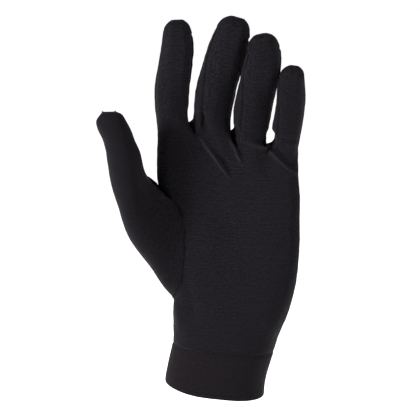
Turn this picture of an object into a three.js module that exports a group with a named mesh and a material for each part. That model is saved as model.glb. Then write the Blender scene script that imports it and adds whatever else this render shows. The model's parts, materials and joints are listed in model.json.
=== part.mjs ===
import * as THREE from "three";

// A thin glove liner for the left hand, as it stands when a hand fills it.
// Millimetres. +Z runs up to the fingertips, the palm faces -Y and the thumb is on the -X side.
// The origin is the middle of the wrist opening, in the plane of the hem.
// The cloth is a palm panel, a back panel, three forked fourchettes, a thumb and a cuff band.
// Neighbouring pieces meet edge to edge at a seam, where a small gap parts them.

// Walls and seams
const clothWall = 1.0;
const cuffWall = 1.6;
const seamGap = 0.3;
const cornerGap = 1.0; // the gap where corners of several pieces meet: at the forks and at the thumb
const cuffProud = 0.3; // how far the folded cuff stands out from the hand's cloth

// The tube of cloth round the wrist and the hand
const cuffHeight = 29;
const handHeight = 135.5; // from the cuff's seam to the forks between the fingers
const wristWidth = 65.4;
const wristThickness = 43;
const palmWidth = 91.9;
const palmThickness = 27;
const palmArch = 5; // how far the middle of the hand stands back from its two edges
const palmHollow = 3; // depth of the hollow of the palm
const handShift = 12.8; // how far the hand's middle lies to the little finger's side of the hem's
const heelReach = 3; // how far the heel of the hand stands out on the palm side
const hemSlope = { across: -0.145, back: 0.145 }; // rise per mm towards +X and towards +Y
const cuffSeamSlope = { across: -0.08, back: 0.07 };

// The fingers. roll turns a finger's palm face, in degrees, towards the little finger. aside and back
// place the foot of its middle line, from the middle of its root on the hand.
const indexFinger = { length: 76.8, width: 21.7, depth: 19.5, roll: 20, aside: -3.1, back: 1.6 };
const middleFinger = { length: 78.8, width: 25.5, depth: 20.5, roll: 27, aside: -0.4, back: 1.2 };
const ringFinger = { length: 74.4, width: 24.6, depth: 20, roll: 27, aside: 2.6, back: -0.2 };
const littleFinger = { length: 61.7, width: 18.6, depth: 17.3, roll: 20, aside: 4, back: -0.7 };
const fingers = [indexFinger, middleFinger, ringFinger, littleFinger];
const fingerSink = 3; // how far the foot of a finger's middle line lies below the middle of its root

// The thumb, and the oval opening in the side of the hand that it is sewn into. aside places the foot of
// the thumb from the middle of the opening. low and high are shares of handHeight from the cuff's seam.
const thumb = { height: 124.5, reach: 42, forward: 31, depth: 21, aside: -10.7 };
const thumbOpening = { low: 0.24, high: 0.76, columns: 4.2, egg: 0.3 };

const forkDip = { palm: 2.5, back: 4.5, columns: 1.3, rows: 4 }; // how deep the cloth sinks at a fork

// Mesh counts
const fingerColumns = 5;
const sideColumns = 4;
const handColumns = 4 * fingerColumns;
const handRows = 24;
const cuffRows = 4;
const fingerRings = 11;
const forkRings = 1; // rings of a finger, from its root, that keep the corners' wider gap
const fourchetteRings = 8; // rings of a finger that its fourchettes reach up to
const openingRows = { first: 7, count: 10 };
const openingColumns = sideColumns + 4;
const smoothingRounds = 400;

// Sections of the tube. up: share of the height from hem to forks. shift: share of handShift.
// spread: 0 is the wrist's width and 1 the palm's. flat: 0 is the wrist's thickness and 1 the palm's.
// heel, arch and hollow: shares of heelReach, palmArch and palmHollow. corner: how square it is.
const tubeSections = [
  { up: -0.06, shift: 0.0, spread: 0.0, flat: 0.0, heel: 0.0, arch: 0.0, hollow: 0.0, corner: 2.1 },
  { up: 0.03, shift: 0.06, spread: 0.0, flat: 0.0, heel: 0.0, arch: 0.0, hollow: 0.0, corner: 2.1 },
  { up: 0.12, shift: 0.33, spread: 0.04, flat: 0.0, heel: 0.0, arch: 0.0, hollow: 0.0, corner: 2.1 },
  { up: 0.17, shift: 0.52, spread: 0.09, flat: 0.02, heel: 0.1, arch: 0.0, hollow: 0.0, corner: 2.15 },
  { up: 0.22, shift: 0.63, spread: 0.16, flat: 0.07, heel: 0.3, arch: 0.05, hollow: 0.0, corner: 2.2 },
  { up: 0.3, shift: 0.84, spread: 0.36, flat: 0.18, heel: 0.7, arch: 0.15, hollow: 0.1, corner: 2.25 },
  { up: 0.37, shift: 0.96, spread: 0.5, flat: 0.28, heel: 1.0, arch: 0.3, hollow: 0.3, corner: 2.35 },
  { up: 0.43, shift: 1.0, spread: 0.62, flat: 0.4, heel: 1.0, arch: 0.45, hollow: 0.6, corner: 2.4 },
  { up: 0.56, shift: 0.94, spread: 0.84, flat: 0.66, heel: 0.6, arch: 0.7, hollow: 1.0, corner: 2.5 },
  { up: 0.68, shift: 0.83, spread: 0.96, flat: 0.84, heel: 0.1, arch: 0.85, hollow: 1.0, corner: 2.6 },
  { up: 0.77, shift: 0.79, spread: 1.01, flat: 0.93, heel: -0.2, arch: 0.95, hollow: 0.6, corner: 2.6 },
  { up: 0.87, shift: 0.7, spread: 1.0, flat: 1.02, heel: -0.35, arch: 1.0, hollow: 0.2, corner: 2.7 },
  { up: 0.96, shift: 0.7, spread: 1.0, flat: 1.12, heel: -0.4, arch: 0.9, hollow: 0.0, corner: 2.7 },
  { up: 1.05, shift: 0.76, spread: 1.0, flat: 1.18, heel: -0.4, arch: 0.8, hollow: 0.0, corner: 2.7 },
];

// The lines between the fingers, from the index finger's outer side to the little finger's. palm and
// back: shares of the way across each face. fork and forkBack: the crotch's height on the palm side
// and at the back, as shares of handHeight.
const fingerLines = [
  { palm: 0.0, back: 0.0, fork: 1.0, forkBack: 1.04 },
  { palm: 0.25, back: 0.16, fork: 1.02, forkBack: 1.085 },
  { palm: 0.56, back: 0.46, fork: 0.98, forkBack: 1.045 },
  { palm: 0.815, back: 0.75, fork: 0.945, forkBack: 0.98 },
  { palm: 1.0, back: 1.0, fork: 0.88, forkBack: 0.93 },
];

// How every finger narrows. up: share of its length. width and depth: shares of its own. side: share of
// the half width at which a face turns into a side.
const fingerProfile = [
  { up: 0.0, width: 0.97, depth: 1.08, side: 0.84 },
  { up: 0.12, width: 0.91, depth: 1.0, side: 0.86 },
  { up: 0.35, width: 1.0, depth: 1.02, side: 0.9 },
  { up: 0.52, width: 0.98, depth: 0.98, side: 0.93 },
  { up: 0.68, width: 0.965, depth: 0.92, side: 0.95 },
  { up: 0.8, width: 0.92, depth: 0.85, side: 0.96 },
  { up: 0.88, width: 0.84, depth: 0.76, side: 0.965 },
  { up: 0.94, width: 0.72, depth: 0.62, side: 0.97 },
  { up: 0.975, width: 0.57, depth: 0.44, side: 0.975 },
  { up: 1.0, width: 0.34, depth: 0.0, side: 0.98 },
];

// The middle line of each finger, as shares of its length from its root. aside: towards the little
// finger. forward: towards the palm side.
const fingerPaths = [
  [
    { up: 0.0, aside: 0.0, forward: 0.0 },
    { up: 0.2, aside: -0.008, forward: 0.02 },
    { up: 0.38, aside: -0.012, forward: 0.06 },
    { up: 0.57, aside: 0.015, forward: 0.105 },
    { up: 0.77, aside: 0.042, forward: 0.16 },
    { up: 1.0, aside: 0.038, forward: 0.225 },
  ],
  [
    { up: 0.0, aside: 0.0, forward: 0.0 },
    { up: 0.2, aside: 0.018, forward: 0.03 },
    { up: 0.42, aside: 0.05, forward: 0.09 },
    { up: 0.6, aside: 0.1, forward: 0.155 },
    { up: 0.8, aside: 0.157, forward: 0.24 },
    { up: 1.0, aside: 0.22, forward: 0.32 },
  ],
  [
    { up: 0.0, aside: 0.0, forward: 0.0 },
    { up: 0.2, aside: 0.004, forward: 0.05 },
    { up: 0.42, aside: 0.034, forward: 0.125 },
    { up: 0.6, aside: 0.07, forward: 0.205 },
    { up: 0.83, aside: 0.103, forward: 0.32 },
    { up: 1.0, aside: 0.077, forward: 0.405 },
  ],
  [
    { up: 0.0, aside: 0.0, forward: 0.0 },
    { up: 0.2, aside: 0.012, forward: 0.055 },
    { up: 0.43, aside: 0.042, forward: 0.14 },
    { up: 0.6, aside: 0.06, forward: 0.215 },
    { up: 0.83, aside: 0.06, forward: 0.335 },
    { up: 1.0, aside: 0.088, forward: 0.43 },
  ],
];

// Sections of the thumb, by the ends of their long side: the near end lies towards the index finger and
// the far end on the outer side. Out: share of its reach. Up: share of its height. forward and depth:
// shares of its own.
const thumbSections = [
  { nearOut: 0.0, nearUp: 0.56, farOut: -0.24, farUp: 0.01, forward: 0.1, depth: 1.5 },
  { nearOut: 0.08, nearUp: 0.6, farOut: -0.05, farUp: 0.07, forward: 0.15, depth: 1.5 },
  { nearOut: 0.14, nearUp: 0.63, farOut: 0.15, farUp: 0.18, forward: 0.29, depth: 1.6 },
  { nearOut: 0.19, nearUp: 0.66, farOut: 0.395, farUp: 0.29, forward: 0.45, depth: 1.55 },
  { nearOut: 0.22, nearUp: 0.69, farOut: 0.55, farUp: 0.41, forward: 0.6, depth: 1.38 },
  { nearOut: 0.25, nearUp: 0.74, farOut: 0.625, farUp: 0.51, forward: 0.71, depth: 1.22 },
  { nearOut: 0.28, nearUp: 0.79, farOut: 0.725, farUp: 0.63, forward: 0.79, depth: 1.11 },
  { nearOut: 0.34, nearUp: 0.84, farOut: 0.775, farUp: 0.75, forward: 0.85, depth: 1.0 },
  { nearOut: 0.4, nearUp: 0.9, farOut: 0.82, farUp: 0.84, forward: 0.91, depth: 0.92 },
  { nearOut: 0.46, nearUp: 0.94, farOut: 0.9, farUp: 0.9, forward: 0.95, depth: 0.81 },
  { nearOut: 0.51, nearUp: 0.97, farOut: 0.93, farUp: 0.94, forward: 0.97, depth: 0.67 },
  { nearOut: 0.56, nearUp: 0.99, farOut: 0.9, farUp: 0.97, forward: 0.99, depth: 0.45 },
  { nearOut: 0.64, nearUp: 1.0, farOut: 0.83, farUp: 1.0, forward: 1.0, depth: 0.0 },
];

// Main folds of the palm side. from and to: shares of palmWidth across and of handHeight up, from the
// cuff's seam. wide: share of palmWidth. rise: share of clothWall, and a valley's is below 0.
const folds = [
  { fromAcross: 0.37, fromUp: 0.95, toAcross: 0.6, toUp: 0.81, wide: 0.05, rise: -1.8 },
  { fromAcross: 0.42, fromUp: 0.83, toAcross: 0.58, toUp: 0.75, wide: 0.06, rise: 0.9 },
  { fromAcross: -0.13, fromUp: 1.0, toAcross: 0.1, toUp: 0.8, wide: 0.04, rise: 0.9 },
  { fromAcross: 0.16, fromUp: 0.96, toAcross: 0.3, toUp: 0.82, wide: 0.04, rise: 0.8 },
  { fromAcross: -0.25, fromUp: 0.4, toAcross: -0.17, toUp: 0.05, wide: 0.07, rise: -1.2 },
  { fromAcross: -0.1, fromUp: 0.16, toAcross: 0.4, toUp: 0.2, wide: 0.06, rise: -0.8 },
];

const tubeHeight = cuffHeight + handHeight;
const tubeCorner = 0.88; // share of the tube's half width at which a face turns into a side
const hollowSpread = 0.45; // share of the half width that the palm's hollow takes
const fingerSquareness = 2.4;
const rootRoll = 0.5; // share of a finger's roll at its root
const rollEnd = 0.35; // share of a finger's length over which its roll grows
const unroll = { from: 0.42, to: 0.68, left: 0.25 }; // where a finger turns back, and what is left of its roll
const rootBlend = 1.2; // rings over which a finger's root turns into its own section
const thumbBlend = 3; // rings over which the thumb's opening turns into its own section
const tipCrowding = 1.35; // how much closer together a finger's rings lie near its tip
const valleyLean = 0.35; // how far a shared normal leans in over a piece before it keeps its own
const sharpestMitre = 0.2; // a corner of a piece is drawn in at most by the gap divided by this

const { lerp, clamp, degToRad, smoothstep } = THREE.MathUtils;

// Reads a table at a value of its column `up`, on a smooth curve through the rows.
function rowAt(table, up) {
  const last = table.length - 1;
  const value = clamp(up, table[0].up, table[last].up);
  let i = 0;
  while (i < last - 1 && value > table[i + 1].up) i++;
  const span = table[i + 1].up - table[i].up;
  const t = (value - table[i].up) / span;
  const row = {};
  for (const column of Object.keys(table[0])) {
    const slope = (k) => {
      const below = table[Math.max(k - 1, 0)];
      const above = table[Math.min(k + 1, last)];
      return ((above[column] - below[column]) / (above.up - below.up)) * span;
    };
    const plain = lerp(table[i][column], table[i + 1][column], t * t * (3 - 2 * t));
    row[column] = plain + t * (1 - t) * ((1 - t) * slope(i) - t * slope(i + 1));
  }
  return row;
}

// The half depth of a rounded section at a share of its half width, and the reverse.
function roundness(share, squareness) {
  return (1 - Math.min(Math.abs(share), 1) ** squareness) ** (1 / squareness);
}

// The place on a rounded section at step k round its side, from the palm face's corner at 0 to the back
// face's corner at sideColumns. wide is positive.
function sideShare(k, corner, squareness) {
  const turn = Math.asin(roundness(corner, squareness));
  const deep = Math.sin(lerp(-turn, turn, k / sideColumns));
  return { wide: roundness(deep, squareness), deep };
}

// What the tube's section holds at a height above the hem.
function tubeSection(height) {
  const row = rowAt(tubeSections, height / tubeHeight);
  return {
    middle: row.shift * handShift,
    halfWidth: lerp(wristWidth, palmWidth, row.spread) / 2,
    halfDepth: lerp(wristThickness, palmThickness, row.flat) / 2,
    forward: row.heel * heelReach,
    arch: row.arch * palmArch,
    hollow: row.hollow * palmHollow,
    squareness: row.corner,
  };
}

// Places round the tube are counted from the index finger's corner of the palm face: across the palm
// face, round the little finger's side, back across the back face and round the thumb's side.
const ulnarPlace = handColumns;
const backPlace = handColumns + sideColumns;
const radialPlace = backPlace + handColumns;
const placesAround = radialPlace + sideColumns;
const thumbPlace = radialPlace + sideColumns / 2;
const littlePlace = ulnarPlace + sideColumns / 2;

// What a column of the table of lines holds at a column of the hand.
function lineValue(column, key) {
  const finger = clamp(Math.floor(column / fingerColumns), 0, fingers.length - 1);
  const t = column / fingerColumns - finger;
  return lerp(fingerLines[finger][key], fingerLines[finger + 1][key], t);
}

// Shares of half width and half depth at a place round the tube. The place may lie between columns.
function tubeShare(place, squareness) {
  const at = ((place % placesAround) + placesAround) % placesAround;
  if (at <= ulnarPlace) {
    const wide = lerp(-tubeCorner, tubeCorner, lineValue(at, "palm"));
    return { wide, deep: -roundness(wide, squareness) };
  }
  if (at < backPlace) return sideShare(at - ulnarPlace, tubeCorner, squareness);
  if (at <= radialPlace) {
    const wide = lerp(-tubeCorner, tubeCorner, lineValue(radialPlace - at, "back"));
    return { wide, deep: roundness(wide, squareness) };
  }
  const share = sideShare(placesAround - at, tubeCorner, squareness);
  return { wide: -share.wide, deep: share.deep };
}

// A point of the tube's outer face at a place and a height. grow moves it outwards.
function tubePoint(place, height, grow = 0) {
  const s = tubeSection(height);
  const { wide, deep } = tubeShare(place, s.squareness);
  const hollow = deep < 0 ? s.hollow * Math.exp(-((wide / hollowSpread) ** 2)) : 0;
  const arch = s.arch * (0.5 - wide * wide);
  return new THREE.Vector3(
    s.middle + wide * (s.halfWidth + grow),
    deep * (s.halfDepth + grow) + hollow + arch - s.forward,
    height,
  );
}

// A point of the tube on a sloping plane, which crosses the origin's axis at a height.
function slopedPoint(place, height, slope, grow = 0) {
  let point = tubePoint(place, height, grow);
  for (let pass = 0; pass < 4; pass++) {
    point = tubePoint(place, height + slope.across * point.x + slope.back * point.y, grow);
  }
  return point;
}

// Height of the forks' line at a place of the hand's top row.
function forkHeight(place) {
  const share = (at) => {
    if (at <= ulnarPlace) return lineValue(at, "fork");
    if (at >= backPlace && at <= radialPlace) return lineValue(radialPlace - at, "forkBack");
    const [from, to] = at < backPlace ? [ulnarPlace, backPlace] : [placesAround, radialPlace];
    return lerp(share(from % placesAround), share(to), (at - from) / (to - from));
  };
  return cuffHeight + handHeight * share(place);
}

// The loop round the thumb's opening, counter-clockwise seen from outside, with each point's row,
// place and angle on the oval. An angle of 0 is on the palm side and a quarter turn is at the top.
function openingLoop() {
  const { first, count } = openingRows;
  const start = thumbPlace - openingColumns / 2;
  const end = start + openingColumns;
  const quarter = Math.PI / 2;
  const loop = [];
  const edge = (steps, from, pointAt) => {
    for (let k = 0; k < steps; k++) loop.push({ ...pointAt(k), angle: from * quarter + (quarter * k) / steps });
  };
  edge(openingColumns, -1.5, (k) => ({ row: first, place: start + k }));
  edge(count, -0.5, (k) => ({ row: first + k, place: end }));
  edge(openingColumns, 0.5, (k) => ({ row: first + count, place: end - k }));
  edge(count, 1.5, (k) => ({ row: first + count - k, place: start }));
  return loop;
}

// The places and heights of the hand's grid. The grid makes room for the thumb's opening: the points of
// the oval are set, the top and bottom rows and the two side seams keep their places, and every other
// point moves to the middle of its neighbours.
function handGrid() {
  const grid = [];
  for (let r = 0; r <= handRows; r++) {
    grid.push([]);
    for (let p = 0; p < placesAround; p++) {
      const low = slopedPoint(p, cuffHeight, cuffSeamSlope).z;
      grid[r].push({ shift: 0, height: lerp(low, forkHeight(p), r / handRows), held: r % handRows === 0 });
    }
  }
  const middle = cuffHeight + (handHeight * (thumbOpening.low + thumbOpening.high)) / 2;
  const reach = (handHeight * (thumbOpening.high - thumbOpening.low)) / 2;
  for (const { row, place, angle } of openingLoop()) {
    const cell = grid[row][place % placesAround];
    const wide = Math.cos(angle) * (1 + thumbOpening.egg * Math.sin(angle));
    cell.shift = thumbPlace + thumbOpening.columns * wide - place;
    cell.height = middle + reach * Math.sin(angle);
    cell.held = true;
  }
  for (let round = 0; round < smoothingRounds; round++) {
    for (let r = 1; r < handRows; r++) {
      for (let p = 0; p < placesAround; p++) {
        const cell = grid[r][p];
        if (cell.held) continue;
        const left = grid[r][(p + placesAround - 1) % placesAround];
        const right = grid[r][(p + 1) % placesAround];
        const around = [left, right, grid[r - 1][p], grid[r + 1][p]];
        const onSeam = p === thumbPlace || p === littlePlace;
        cell.shift = onSeam ? 0 : around.reduce((sum, c) => sum + c.shift, 0) / around.length;
        cell.height = around.reduce((sum, c) => sum + c.height, 0) / around.length;
      }
    }
  }
  return grid;
}

// How far a point of the hand's grid lies towards the middle of the cloth, beside a fork.
function dipAt(place, row) {
  const onPalm = place <= ulnarPlace;
  const onBack = place >= backPlace && place <= radialPlace;
  if (!onPalm && !onBack) return 0;
  const column = onPalm ? place : radialPlace - place;
  const near = [1, 2, 3].map((f) => Math.exp(-(((column - f * fingerColumns) / forkDip.columns) ** 2)));
  const rise = smoothstep(row, handRows - forkDip.rows, handRows);
  return Math.max(...near) * rise * (onPalm ? forkDip.palm : -forkDip.back);
}

// The web is the outer face of the cloth: shared points, and faces that each belong to a piece.
class Web {
  points = [];
  faces = [];
  wide = new Set(); // points whose seams keep the corners' wider gap

  add(point) {
    return this.points.push(point) - 1;
  }

  face(piece, ...corners) {
    const kept = corners.filter((c, i) => c !== corners[(i + 1) % corners.length]);
    if (kept.length > 2) this.faces.push({ piece, corners: kept });
  }

  // Joins two rings of the same count. pieceAt names the piece of the face at each step.
  band(lower, upper, pieceAt) {
    lower.forEach((a, k) => {
      const next = (k + 1) % lower.length;
      this.face(pieceAt(k), a, lower[next], upper[next], upper[k]);
    });
  }

  normals(faces = this.faces) {
    const normals = this.points.map(() => new THREE.Vector3());
    for (const { corners } of faces) {
      const p = corners.map((c) => this.points[c]);
      const from = p[2].clone().sub(p[0]);
      const to = (p[3] ?? p[0]).clone().sub(p[1]);
      const area = from.cross(to);
      for (const c of corners) normals[c].add(area);
    }
    return normals.map((n) => n.normalize());
  }
}

// Pieces of the hand by place: the side seams part the palm panel from the back panel.
function handPiece(place) {
  return place < littlePlace || place >= thumbPlace ? "palm_panel" : "back_panel";
}

const fourchetteNames = ["fourchette_index_middle", "fourchette_middle_ring", "fourchette_ring_little"];

// The piece that a face of a finger belongs to, by its step round the finger and its ring.
function fingerPiece(finger, k, ring) {
  const side = k - fingerColumns;
  if (side < 0) return "palm_panel";
  if (side < sideColumns) {
    if (finger < fourchetteNames.length && ring < fourchetteRings) return fourchetteNames[finger];
    return side < sideColumns / 2 ? "palm_panel" : "back_panel";
  }
  if (side < sideColumns + fingerColumns) return "back_panel";
  if (finger > 0 && ring < fourchetteRings) return fourchetteNames[finger - 1];
  return side < 1.5 * sideColumns + fingerColumns ? "back_panel" : "palm_panel";
}

// A finger's lowest ring: its stretch of the hand's top row, closed by the forks on its two sides.
function fingerBase(finger, topRow, forks) {
  const low = finger * fingerColumns;
  const high = low + fingerColumns;
  const palm = topRow.slice(low, high);
  const back = topRow.slice(radialPlace - high, radialPlace - low);
  const ulnarSide = finger < forks.length ? forks[finger] : topRow.slice(ulnarPlace, backPlace);
  const radialSide = finger > 0 ? [...forks[finger - 1]].reverse() : topRow.slice(radialPlace);
  return [...palm, ...ulnarSide.slice(0, sideColumns), ...back, ...radialSide.slice(0, sideColumns)];
}

// Shares of half width and half depth round a finger, in the order of its lowest ring.
function fingerShares(corner) {
  const face = Array.from({ length: fingerColumns }, (_, k) => {
    const wide = lerp(-corner, corner, k / fingerColumns);
    return { wide, deep: -roundness(wide, fingerSquareness) };
  });
  const side = Array.from({ length: sideColumns }, (_, k) => sideShare(k, corner, fingerSquareness));
  const half = [...face, ...side];
  return [...half, ...half.map(({ wide, deep }) => ({ wide: -wide, deep: -deep }))];
}

// A ring of a finger's own section, square to its middle line, which rises from a foot.
function fingerRing(finger, path, foot, up) {
  const centreAt = (share) => {
    const row = rowAt(path, share);
    return new THREE.Vector3(row.aside, -row.forward, share).multiplyScalar(finger.length).add(foot);
  };
  const step = 0.04;
  const along = centreAt(Math.min(up + step, 1)).sub(centreAt(Math.max(up - step, 0))).normalize();
  const turnedBack = lerp(1, unroll.left, smoothstep(up, unroll.from, unroll.to));
  const roll = degToRad(finger.roll) * lerp(rootRoll, 1, smoothstep(up, 0, rollEnd)) * turnedBack;
  const palmward = new THREE.Vector3(Math.sin(roll), -Math.cos(roll), 0);
  palmward.addScaledVector(along, -palmward.dot(along)).normalize();
  const aside = new THREE.Vector3().crossVectors(along, palmward);
  const row = rowAt(fingerProfile, up);
  return fingerShares(row.side).map(({ wide, deep }) =>
    centreAt(up)
      .addScaledVector(aside, (wide * row.width * finger.width) / 2)
      .addScaledVector(palmward, (-deep * row.depth * finger.depth) / 2),
  );
}

// The middle of a ring of points.
function middleOf(points) {
  return points.reduce((sum, p) => sum.add(p), new THREE.Vector3()).divideScalar(points.length);
}

// Closes the top of a finger or thumb. The palm half of its last ring, from a start, and the back half
// meet in one line of points.
function closeTip(web, ring, tip, start, lineSteps, pieceAt) {
  const count = ring.length;
  const line = Array.from({ length: lineSteps + 1 }, (_, k) => web.add(tip[(start + k) % count]));
  const upper = ring.map((_, i) => {
    const step = (i - start + count) % count;
    if (step <= lineSteps) return line[step];
    if (step < count / 2) return line[lineSteps];
    return line[Math.max(lineSteps - (step - count / 2), 0)];
  });
  web.band(ring, upper, pieceAt);
}

// Each finger: rings that turn from the shape of its root into its own section, and a closed tip.
function addFinger(web, index, topRow, forks) {
  const finger = fingers[index];
  const path = fingerPaths[index];
  const base = fingerBase(index, topRow, forks);
  const basePoints = base.map((i) => web.points[i]);
  const baseMiddle = middleOf(basePoints);
  const foot = new THREE.Vector3(finger.aside, finger.back, -fingerSink).add(baseMiddle);
  let lower = base;
  for (let ring = 1; ring < fingerRings; ring++) {
    const up = 1 - (1 - ring / fingerRings) ** tipCrowding;
    const own = fingerRing(finger, path, foot, up);
    const lift = middleOf(own).sub(baseMiddle);
    const blend = smoothstep(ring, 0, rootBlend);
    const upper = own.map((p, k) => web.add(basePoints[k].clone().add(lift).lerp(p, blend)));
    if (ring <= forkRings) upper.forEach((i) => web.wide.add(i));
    web.band(lower, upper, (k) => fingerPiece(index, k, ring - 1));
    lower = upper;
  }
  const tip = fingerRing(finger, path, foot, 1);
  closeTip(web, lower, tip, 0, fingerColumns, (k) => fingerPiece(index, k, fingerRings));
}

// A ring of the thumb's own section, above a foot. Each point keeps its angle on the oval opening.
function thumbRing(row, foot, angles) {
  const end = (out, up) =>
    new THREE.Vector3(-out * thumb.reach, -row.forward * thumb.forward, up * thumb.height).add(foot);
  const near = end(row.nearOut, row.nearUp);
  const far = end(row.farOut, row.farUp);
  const centre = near.clone().lerp(far, 0.5);
  const half = near.clone().sub(far).multiplyScalar(0.5);
  return angles.map((angle) => {
    const deep = (Math.cos(angle) * row.depth * thumb.depth) / 2;
    return centre.clone().addScaledVector(half, Math.sin(angle)).add(new THREE.Vector3(0, -deep, 0));
  });
}

// The thumb: rings that turn from the oval opening into its own section, and a closed tip.
function addThumb(web, grid) {
  const loop = openingLoop();
  const base = loop.map(({ row, place }) => grid[row][place % placesAround]);
  const angles = loop.map(({ angle }) => angle);
  const basePoints = base.map((i) => web.points[i]);
  const low = cuffHeight + handHeight * thumbOpening.low;
  const foot = new THREE.Vector3(middleOf(basePoints).x + thumb.aside, 0, low);
  const baseMiddle = middleOf(thumbRing(thumbSections[0], foot, angles));
  for (const { row, place } of loop) {
    if (place === thumbPlace) web.wide.add(grid[row][place]);
  }
  let lower = base;
  thumbSections.slice(1, -1).forEach((row, k) => {
    const own = thumbRing(row, foot, angles);
    const lift = middleOf(own).sub(baseMiddle);
    const blend = smoothstep(k + 1, 0, thumbBlend);
    const upper = own.map((p, i) => web.add(basePoints[i].clone().add(lift).lerp(p, blend)));
    web.band(lower, upper, () => "thumb");
    lower = upper;
  });
  const tip = thumbRing(thumbSections.at(-1), foot, angles);
  closeTip(web, lower, tip, openingColumns / 2, loop.length / 2, () => "thumb");
}

// How far the folds lift the palm side's cloth at a point.
function foldRise(point) {
  let rise = 0;
  for (const fold of folds) {
    const from = new THREE.Vector2(fold.fromAcross * palmWidth, cuffHeight + fold.fromUp * handHeight);
    const to = new THREE.Vector2(fold.toAcross * palmWidth, cuffHeight + fold.toUp * handHeight);
    const along = to.clone().sub(from);
    const offset = new THREE.Vector2(point.x, point.z).sub(from);
    const t = clamp(offset.dot(along) / along.lengthSq(), 0, 1);
    const distance = offset.addScaledVector(along, -t).length();
    rise += fold.rise * clothWall * Math.exp(-((distance / (fold.wide * palmWidth)) ** 2));
  }
  return rise;
}

// Lifts or sinks the points of the palm panel by the folds. The panel's seams stay where they are.
function addFolds(web) {
  const normals = web.normals();
  const touched = web.points.map(() => new Set());
  for (const { piece, corners } of web.faces) {
    for (const c of corners) touched[c].add(piece);
  }
  web.points.forEach((point, i) => {
    if (touched[i].size !== 1 || !touched[i].has("palm_panel")) return;
    const facing = smoothstep(-normals[i].y, 0.2, 0.8);
    point.addScaledVector(normals[i], foldRise(point) * facing);
  });
}

// The web of the hand, the fingers and the thumb.
function handWeb() {
  const web = new Web();
  const openingStep = (row, place) => {
    const column = (place - (thumbPlace - openingColumns / 2) + placesAround) % placesAround;
    return { column, step: row - openingRows.first };
  };
  const grid = handGrid().map((cells, r) =>
    cells.map((cell, p) => {
      const { column, step } = openingStep(r, p);
      const inside = column > 0 && column < openingColumns && step > 0 && step < openingRows.count;
      const dip = new THREE.Vector3(0, dipAt(p, r), 0);
      return inside ? -1 : web.add(tubePoint(p + cell.shift, cell.height).add(dip));
    }),
  );
  for (let r = 0; r < handRows; r++) {
    for (let p = 0; p < placesAround; p++) {
      const { column, step } = openingStep(r, p);
      if (column < openingColumns && step >= 0 && step < openingRows.count) continue;
      const next = (p + 1) % placesAround;
      web.face(handPiece(p), grid[r][p], grid[r][next], grid[r + 1][next], grid[r + 1][p]);
    }
  }
  const topRow = grid[handRows];
  const forks = fourchetteNames.map((_, f) => {
    const column = (f + 1) * fingerColumns;
    const [front, back] = [topRow[column], topRow[radialPlace - column]];
    const between = Array.from({ length: sideColumns - 1 }, (_, k) =>
      web.add(web.points[front].clone().lerp(web.points[back], (k + 1) / sideColumns)),
    );
    const fork = [front, ...between, back];
    fork.forEach((i) => web.wide.add(i));
    return fork;
  });
  fingers.forEach((_, index) => addFinger(web, index, topRow, forks));
  addThumb(web, grid);
  addFolds(web);
  return web;
}

// The web of the cuff band, from the hem up to its seam.
function cuffWeb() {
  const web = new Web();
  let lower = [];
  for (let r = 0; r <= cuffRows; r++) {
    const upper = Array.from({ length: placesAround }, (_, p) => {
      const low = slopedPoint(p, 0, hemSlope, cuffProud);
      const high = slopedPoint(p, cuffHeight, cuffSeamSlope, cuffProud);
      return web.add(tubePoint(p, lerp(low.z, high.z, r / cuffRows), cuffProud));
    });
    if (r > 0) web.band(lower, upper, () => "cuff_band");
    lower = upper;
  }
  return web;
}

// A piece's edges. An edge runs with the piece on its left, seen from outside.
function pieceEdges(faces) {
  const edges = new Map();
  for (const { corners } of faces) {
    corners.forEach((a, k) => {
      const b = corners[(k + 1) % corners.length];
      if (!edges.delete(`${b},${a}`)) edges.set(`${a},${b}`, [a, b]);
    });
  }
  return [...edges.values()];
}

// The normals that a piece's wall is built on, and the steps that draw its edges in from its seams by
// half the gap. A piece shares its neighbours' normals, so that the cut edges lie side by side.
// Only in a sharp valley, where the shared normal leans in over the piece, does it keep its own.
function seamSteps(web, shared, faces, edges, isSeam) {
  const own = web.normals(faces);
  const normals = [...shared];
  const before = new Map(edges.map(([a, b]) => [b, a]));
  const steps = new Map();
  for (const [a, b] of edges) {
    const here = web.points[a];
    const arriving = here.clone().sub(web.points[before.get(a)]).normalize();
    const leaving = web.points[b].clone().sub(here).normalize();
    const tangent = arriving.add(leaving);
    const mitre = Math.max(tangent.length() / 2, sharpestMitre);
    const inward = new THREE.Vector3().crossVectors(own[a], tangent).normalize();
    if (inward.dot(shared[a]) > valleyLean) normals[a] = own[a];
    const gap = web.wide.has(a) ? cornerGap : seamGap;
    if (isSeam(a)) steps.set(a, inward.multiplyScalar(gap / 2 / mitre));
  }
  return { normals, steps };
}

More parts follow.
